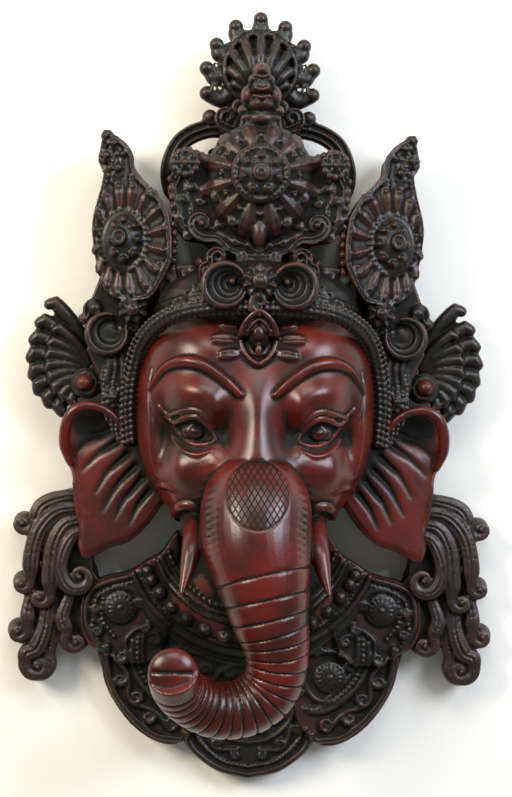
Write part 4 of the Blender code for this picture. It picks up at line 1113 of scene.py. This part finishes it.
outer = half_row((0, -170), (20, -167), (44, -157), (62, -142), (73, -127), (78, -117))
inner = half_row((0, -148), (28, -143), (44, -133), (56, -120), (62, -108))
middle = half_row((0, -159), (18, -157), (38, -149), (54, -136), (65, -122), (70, -112.5))
throat = half_row((0, -139), (26, -134), (40, -124), (50, -112), (55, -102))
above = half_row((0, -144), (27, -139), (42.5, -129), (54, -116.5), (59.5, -105))
below = half_row((0, -165), (20, -162), (42, -152), (60, -138), (70, -123), (74, -115))
cord(chest_ground, outer, 0.8, 2.1, INK)
cord(chest_ground, inner, 0.6, 1.7, INK)
for spot in laid(chest_ground, middle[2::5], 1.0):
    seal(spot[:2], 4.4, spot[2] - 0.6, INK)
strand(chest_ground, throat, 0.6, 1.9, 2.2)
strand(chest_ground, above, 0.4, 1.2)
strand(chest_ground, below, 0.4, 1.3)
for drop in (4.2, 7.6):
    strand(chest_ground, [(x, y - drop) for x, y in outer], 0.5, 1.1)

# %% Lobes, hems and rosettes
hem = half_row((0, -250.5), (20, -245.5), (36, -234), (42, -222))
cord(chest_ground, hem, 0.4, 2.2, INK)
strand(chest_ground, half_row((0, -245), (18, -241), (32, -229), (37, -219)), 0.5, 1.4)
cord(chest_ground, half_row((0, -229), (14, -226), (26, -216), (30, -207)), 0.4, 1.5, INK)
mark = len(pot)
vine(route(((1, -237), (16, -234), (28, -224), (33, -213)), 8), 6.4, chest_ground, INK)
vine(route(((1, -220), (12, -217), (21, -208), (24, -196)), 8), 6.4, chest_ground, INK)
big_hem = route(((94.5, -164), (94, -180), (88.5, -197), (76.5, -212.5), (62, -223.5),
                 (46, -226)), 6)
cord(chest_ground, big_hem, 0.6, 2.2, INK)
trail = route(((86, -163), (86, -179), (80.5, -193.5), (70, -206), (58, -215.5), (44, -217.5)), 6)
vine(trail, 8.4, chest_ground, INK)
inside = route(((77.5, -161), (77.5, -177), (72, -190), (62, -200), (50, -207), (40, -207.5)), 6)
cord(chest_ground, inside, 0.5, 1.6, INK)
strand(chest_ground, inside + (-3.6, 2.2), 0.5, 1.6)
cord(chest_ground, inside[:-8] + (-7.0, 4.2), 0.4, 1.3, INK)
small_hem = route(((82, -119), (98, -123.5), (107, -131), (108.5, -150), (100, -165)), 6)
cord(chest_ground, small_hem, 0.5, 1.9, INK)
strand(chest_ground, small_hem * (0.96, 1.0) + (-0.4, -3.4), 0.6, 1.5)
vine(route(((103, -132), (103.5, -148), (96, -160)), 8), 6.0, chest_ground, INK)
strand(chest_ground, route(((97, -130), (98, -146), (90, -158)), 8), 0.6, 1.5)
seal((86, -139), 10.8, chest_ground(86, -139) + 0.4, INK)
seal((53, -184), 10.8, chest_ground(53, -184) + 0.4, INK)
for points in (((74, -133), (80, -126.5), (90, -126), (96, -131)),
               ((66, -150), (75, -153), (82, -160), (81, -168), (74, -170)),
               ((38, -176), (37, -188), (43, -198), (54, -201), (64, -197)),
               ((30, -170), (42, -168), (54, -167), (64, -171), (69, -180)),
               ((8, -176), (18, -180), (24, -188)), ((3, -188), (11, -193), (14, -203))):
    cord(chest_ground, route(points, 6), 0.5, (0.9, 1.5, 1.7, 1.5, 0.9), INK)
for x, y, size, entry, turns in ((63, -160, 5.2, 40, 1.5), (30, -180, 4.4, 200, -1.5),
                                 (70, -152, 4.2, 120, 1.5), (66, -176, 3.6, 300, -1.4),
                                 (34, -194, 4.0, 80, 1.4), (74, -137, 3.8, 10, 1.4),
                                 (14, -182, 4.6, 90, 1.5), (45, -168, 3.6, 30, 1.4)):
    snail((x, y), size, entry, turns, 1.5, chest_ground(x, y) + 0.8, INK, section=ROUND, flat=1.2)
reflect(mark)
chest = pour("collared_chest", 0.85, 125000)

# %% [markdown]
# ## Large hollows
# The gaps between whole ornaments are darker too, with black wash and painted shade. A height map
# of the finished mask is blurred, and each point is compared with it: a point far below its
# neighbourhood gets the most black.

# %% Deep places
def blurred(grid, reach):
    """A Gaussian blur with that reach in cells, one direction after the other."""
    span = np.arange(-3 * reach, 3 * reach + 1)
    weight = np.exp(-0.5 * (span / reach) ** 2)
    weight /= weight.sum()
    for axis in (0, 1):
        grid = np.apply_along_axis(lambda line: np.convolve(line, weight, "same"), axis, grid)
    return grid


def cells_of(points):
    """The row and column of each point in a map with cells of 1 mm."""
    return (points[:, 1] + 280).astype(int), (points[:, 0] + 190).astype(int)


PIECES = (face, ears, crown, finial, sides, locks, chest)
BLUR_CELLS = 6
FULLY_DEEP = 14.0
tops = np.zeros((560, 380))
for made in PIECES:
    points = points_of(made.data)
    np.maximum.at(tops, cells_of(points), points[:, 2])
around = blurred(tops, BLUR_CELLS)
for made in PIECES:
    points = points_of(made.data)
    below = around[cells_of(points)] - points[:, 2]
    # this mark is black wash plus painted shade in the large gaps
    keep_mark(made.data, "deep_wash_and_shade", np.clip(below / FULLY_DEEP, 0, 1))
print("height map up to", round(float(tops.max()), 1), "mm")

# %% [markdown]
# ## Lacquered and antiqued resin
# Cast polyester resin is smooth and has an IOR near 1.5. This one has a red-brown coat, a black
# wash that stays in the hollows and is more matt, and a rub that bares dull red on the ridges. The
# same matt black is painted shade in the large gaps, round the eyes and in the ears. The coat
# varies a little in depth over centimetres, and the wash breaks up over millimetres.

# %% Colours and nodes
def linear(code):
    """An sRGB hex colour as linear light."""
    parts = [int(code[i:i + 2], 16) / 255 for i in (1, 3, 5)]
    light = [c / 12.92 if c <= 0.04045 else ((c + 0.055) / 1.055) ** 2.4 for c in parts]
    return (*light, 1.0)


def node(tree, kind, settings, out=0):
    """Adds a node, sets or links each named input, and returns one of its outputs."""
    made = tree.nodes.new(kind)
    for name, value in settings.items():
        if isinstance(name, str) and hasattr(made, name):
            setattr(made, name, value)
        elif isinstance(value, bpy.types.NodeSocket):
            tree.links.new(value, made.inputs[name])
        else:
            made.inputs[name].default_value = linear(value) if isinstance(value, str) else value
    return made.outputs[out]


RANGE = "ShaderNodeMapRange"
MIX = "ShaderNodeMix"
NOISE = "ShaderNodeTexNoise"
CLOUDS, PATCHES, SPECKS, PORES = 34.0, 95.0, 340.0, 900.0
RESIN_IOR = 1.5
WASH_AND_SHADE_BLACK = "#0b0b08"
WASH_AND_SHADE_RANGE = 0.62


def maths(tree, operation, *terms):
    return node(tree, "ShaderNodeMath", {"operation": operation, **dict(enumerate(terms))})


# %% The resin
def antiqued_resin(name, coat, deep_coat, rub, ink, ink_glow, roughness, shine, wash_and_shade_from,
                   engraved=False):
    """Red-brown lacquer with a black wash and painted shade that are more matt; the marks say where
    each one lies.
    """
    material = bpy.data.materials.new(name)
    material.use_nodes = True
    tree = material.node_tree
    shader = tree.nodes["Principled BSDF"]
    here = node(tree, "ShaderNodeTexCoord", {}, "Object")
    black, hollow, ridge, deep_wash_and_shade = [
        node(tree, "ShaderNodeAttribute",
             {"attribute_type": "GEOMETRY", "attribute_name": word}, "Fac")
        for word in ("black", "hollow", "ridge", "deep_wash_and_shade")]
    cloud = node(tree, NOISE, {"Vector": here, "Scale": CLOUDS, "Detail": 3.0, "Roughness": 0.6})
    patch = node(tree, NOISE, {"Vector": here, "Scale": PATCHES, "Detail": 3.0, "Roughness": 0.55})
    speck = node(tree, NOISE, {"Vector": here, "Scale": SPECKS, "Detail": 4.0, "Roughness": 0.65})
    depth = node(tree, RANGE, {"interpolation_type": "SMOOTHSTEP", "Value": cloud,
                               "From Min": 0.34, "From Max": 0.68})
    lacquer = node(tree, MIX, {"data_type": "RGBA", 0: depth, 6: coat, 7: deep_coat}, 2)
    painted = node(tree, MIX, {"data_type": "RGBA", 0: depth, 6: ink, 7: ink_glow}, 2)
    wear = maths(tree, "MULTIPLY_ADD", patch, 1.5, -0.75)
    wear = maths(tree, "MULTIPLY_ADD", speck, 0.5, wear)
    wear = maths(tree, "ADD", ridge, wear)
    worn = node(tree, RANGE, {"interpolation_type": "SMOOTHSTEP", "Value": wear, "From Min": 0.5,
                              "From Max": 1.45, "To Max": 0.75})
    painted = node(tree, MIX, {"data_type": "RGBA", 0: worn, 6: painted, 7: rub}, 2)
    colour = node(tree, MIX, {"data_type": "RGBA", 0: black, 6: lacquer, 7: painted}, 2)
    # black wash in the hollows, plus painted shade from the large gaps and the shade functions
    wash_and_shade = maths(tree, "MULTIPLY_ADD", deep_wash_and_shade, 0.75, hollow)
    wash_and_shade = maths(tree, "MULTIPLY_ADD", speck, 0.30, wash_and_shade)
    if engraved:
        wash_and_shade = maths(tree, "ADD", wash_and_shade, engraving(tree, here))
    black_wash_and_shade = node(tree, RANGE, {"interpolation_type": "SMOOTHSTEP", "Value": wash_and_shade,
                               "From Min": wash_and_shade_from, "From Max": wash_and_shade_from + WASH_AND_SHADE_RANGE})
    colour = node(tree, MIX, {"data_type": "RGBA", 0: black_wash_and_shade, 6: colour, 7: WASH_AND_SHADE_BLACK}, 2)
    tree.links.new(colour, shader.inputs["Base Color"])
    rough = maths(tree, "MULTIPLY_ADD", speck, 0.14, roughness - 0.07)
    rough = maths(tree, "MULTIPLY_ADD", black_wash_and_shade, 0.30, rough)
    tree.links.new(rough, shader.inputs["Roughness"])
    shader.inputs["IOR"].default_value = RESIN_IOR
    matt = node(tree, RANGE, {"Value": black_wash_and_shade, "To Min": shine, "To Max": shine * 0.4})
    tree.links.new(matt, shader.inputs["Specular IOR Level"])
    pores = node(tree, NOISE, {"Vector": here, "Scale": PORES, "Detail": 3.0})
    dents = node(tree, "ShaderNodeBump", {"Strength": 0.12, "Distance": 0.0005, "Height": pores})
    tree.links.new(dents, shader.inputs["Normal"])
    return material


# %% [markdown]
# The oval on the root of the trunk is engraved with crossed lines, each about 0.7 mm wide, in
# diamonds 3.9 mm wide and 6.4 mm tall. Lines that fine would need a very dense mesh, so the black
# in them is drawn from the place on the mask.

# %% The engraved oval
DIAMOND_WIDTH, DIAMOND_HEIGHT = 3.9 * MM, 6.4 * MM
OVAL_HALF_X, OVAL_HALF_Y = 19.2 * MM, 20.8 * MM


def engraving(tree, here):
    """1 on the engraved lines inside the oval, 0 elsewhere."""
    x = node(tree, "ShaderNodeSeparateXYZ", {"Vector": here}, "X")
    y = node(tree, "ShaderNodeSeparateXYZ", {"Vector": here}, "Y")
    lines = []
    for sign in (1, -1):
        run = maths(tree, "MULTIPLY", x, 1 / DIAMOND_WIDTH)
        run = maths(tree, "MULTIPLY_ADD", y, sign / DIAMOND_HEIGHT, run)
        gap = maths(tree, "PINGPONG", run, 0.5)
        lines.append(node(tree, RANGE, {"Value": gap, "From Min": 0.15, "From Max": 0.05}))
    crossed = maths(tree, "MAXIMUM", lines[0], lines[1])
    across = maths(tree, "MULTIPLY", x, 1 / OVAL_HALF_X)
    along = maths(tree, "ADD", y, -OVAL_Y * MM)
    along = maths(tree, "MULTIPLY", along, 1 / OVAL_HALF_Y)
    reach = maths(tree, "MULTIPLY", across, across)
    reach = maths(tree, "MULTIPLY_ADD", along, along, reach)
    inside = node(tree, RANGE, {"Value": reach, "From Min": 1.02, "From Max": 0.96})
    dark = maths(tree, "MULTIPLY_ADD", crossed, 0.75, 0.12)
    return maths(tree, "MULTIPLY", dark, inside)


# %% The three mixtures
red_resin = antiqued_resin("cast_resin_red_brown_lacquer", "#571407", "#310a04", "#4c2018",
                           "#0c0b09", "#120e0c", 0.31, 0.5, 0.20, engraved=True)
crown_resin = antiqued_resin("cast_resin_black_wash_rubbed_red", "#5c2219", "#3a1510", "#4c2720",
                             "#080c08", "#0f140d", 0.40, 0.42, 0.30)
lock_resin = antiqued_resin("cast_resin_plum_brown_wash", "#45281f", "#2c1712", "#55382f",
                            "#0a0c09", "#151511", 0.40, 0.5, 0.20)
for made in (face, ears):
    made.data.materials.append(red_resin)
for made in (crown, finial, sides, chest):
    made.data.materials.append(crown_resin)
locks.data.materials.append(lock_resin)
print("materials:", [m.name for m in bpy.data.materials])

# %% [markdown]
# ## Floor, light and camera
# The mask lies on a plain pale floor and the camera looks straight down at it, as the photograph
# looks straight at the wall. A window on the right gives cool light, a lamp on the left warm, and a
# pale ceiling fills in. The standard view keeps the floor white and the resin dark.

# %% Floor
for cutter in (cut_back, cut_hollow):
    bpy.data.objects.remove(cutter, do_unlink=True)
floor_mesh = bpy.data.meshes.new("pale_floor")
floor_mesh.from_pydata([(-3, -3, 0), (3, -3, 0), (3, 3, 0), (-3, 3, 0)], [], [(0, 1, 2, 3)])
pale_floor = place("pale_floor", floor_mesh)
pale_floor.location.z = -0.0005
plaster = bpy.data.materials.new("matt_white_plaster")
plaster.use_nodes = True
plaster_shader = plaster.node_tree.nodes["Principled BSDF"]
plaster_shader.inputs["Base Color"].default_value = linear("#f2f3eb")
plaster_shader.inputs["Roughness"].default_value = 0.85
floor_mesh.materials.append(plaster)
pale_floor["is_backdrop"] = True


# %% Light
def soft_light(name, where, size, power, colour):
    lamp = bpy.data.lights.new(name, "AREA")
    lamp.shape = "RECTANGLE"
    lamp.size, lamp.size_y = size
    lamp.energy = power
    lamp.color = linear(colour)[:3]
    made = bpy.data.objects.new(name, lamp)
    made.location = where
    made.rotation_euler = (-Vector(where)).to_track_quat("-Z", "Y").to_euler()
    bpy.context.scene.collection.objects.link(made)


soft_light("window", (1.3, 0.8, 1.3), (0.8, 1.1), 39, "#e9eeff")
soft_light("lamp", (-1.3, 0.7, 1.2), (0.6, 0.8), 35, "#fff1db")
soft_light("ceiling", (0.0, 1.7, 1.7), (1.6, 0.8), 24, "#fffaf2")
world = bpy.data.worlds.new("pale_room")
world.use_nodes = True
world.node_tree.nodes["Background"].inputs["Color"].default_value = linear("#f2f1ee")
world.node_tree.nodes["Background"].inputs["Strength"].default_value = 0.28
bpy.context.scene.world = world
bpy.context.scene.view_settings.view_transform = "Standard"

# %% Camera
CAMERA_X, CAMERA_HEIGHT = -0.039, 1.3
AIM_X = 0.0017
CAMERA_ROLL = 0.92
FOCAL_PIXELS, HALF_HEIGHT_PIXELS = 1935.0, 398.5
eye = bpy.data.cameras.new("front_view")
eye.sensor_fit = "VERTICAL"
eye.angle = 2 * math.atan(HALF_HEIGHT_PIXELS / FOCAL_PIXELS)
camera = bpy.data.objects.new("front_view", eye)
camera.location = (CAMERA_X, 0.0, CAMERA_HEIGHT)
aim = Vector((AIM_X, 0.0, 0.0)) - camera.location
camera.rotation_euler = (0.0, math.atan2(-aim.x, -aim.z), 0.0)
camera.rotation_euler.rotate_axis("Z", math.radians(CAMERA_ROLL))
bpy.context.scene.collection.objects.link(camera)
bpy.context.scene.camera = camera

# %% [markdown]
# ## Size
# The size of this model's box is printed in millimetres.

low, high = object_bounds()
print("visual box in mm:", [round(v * 1000, 1) for v in (*low, *high)])
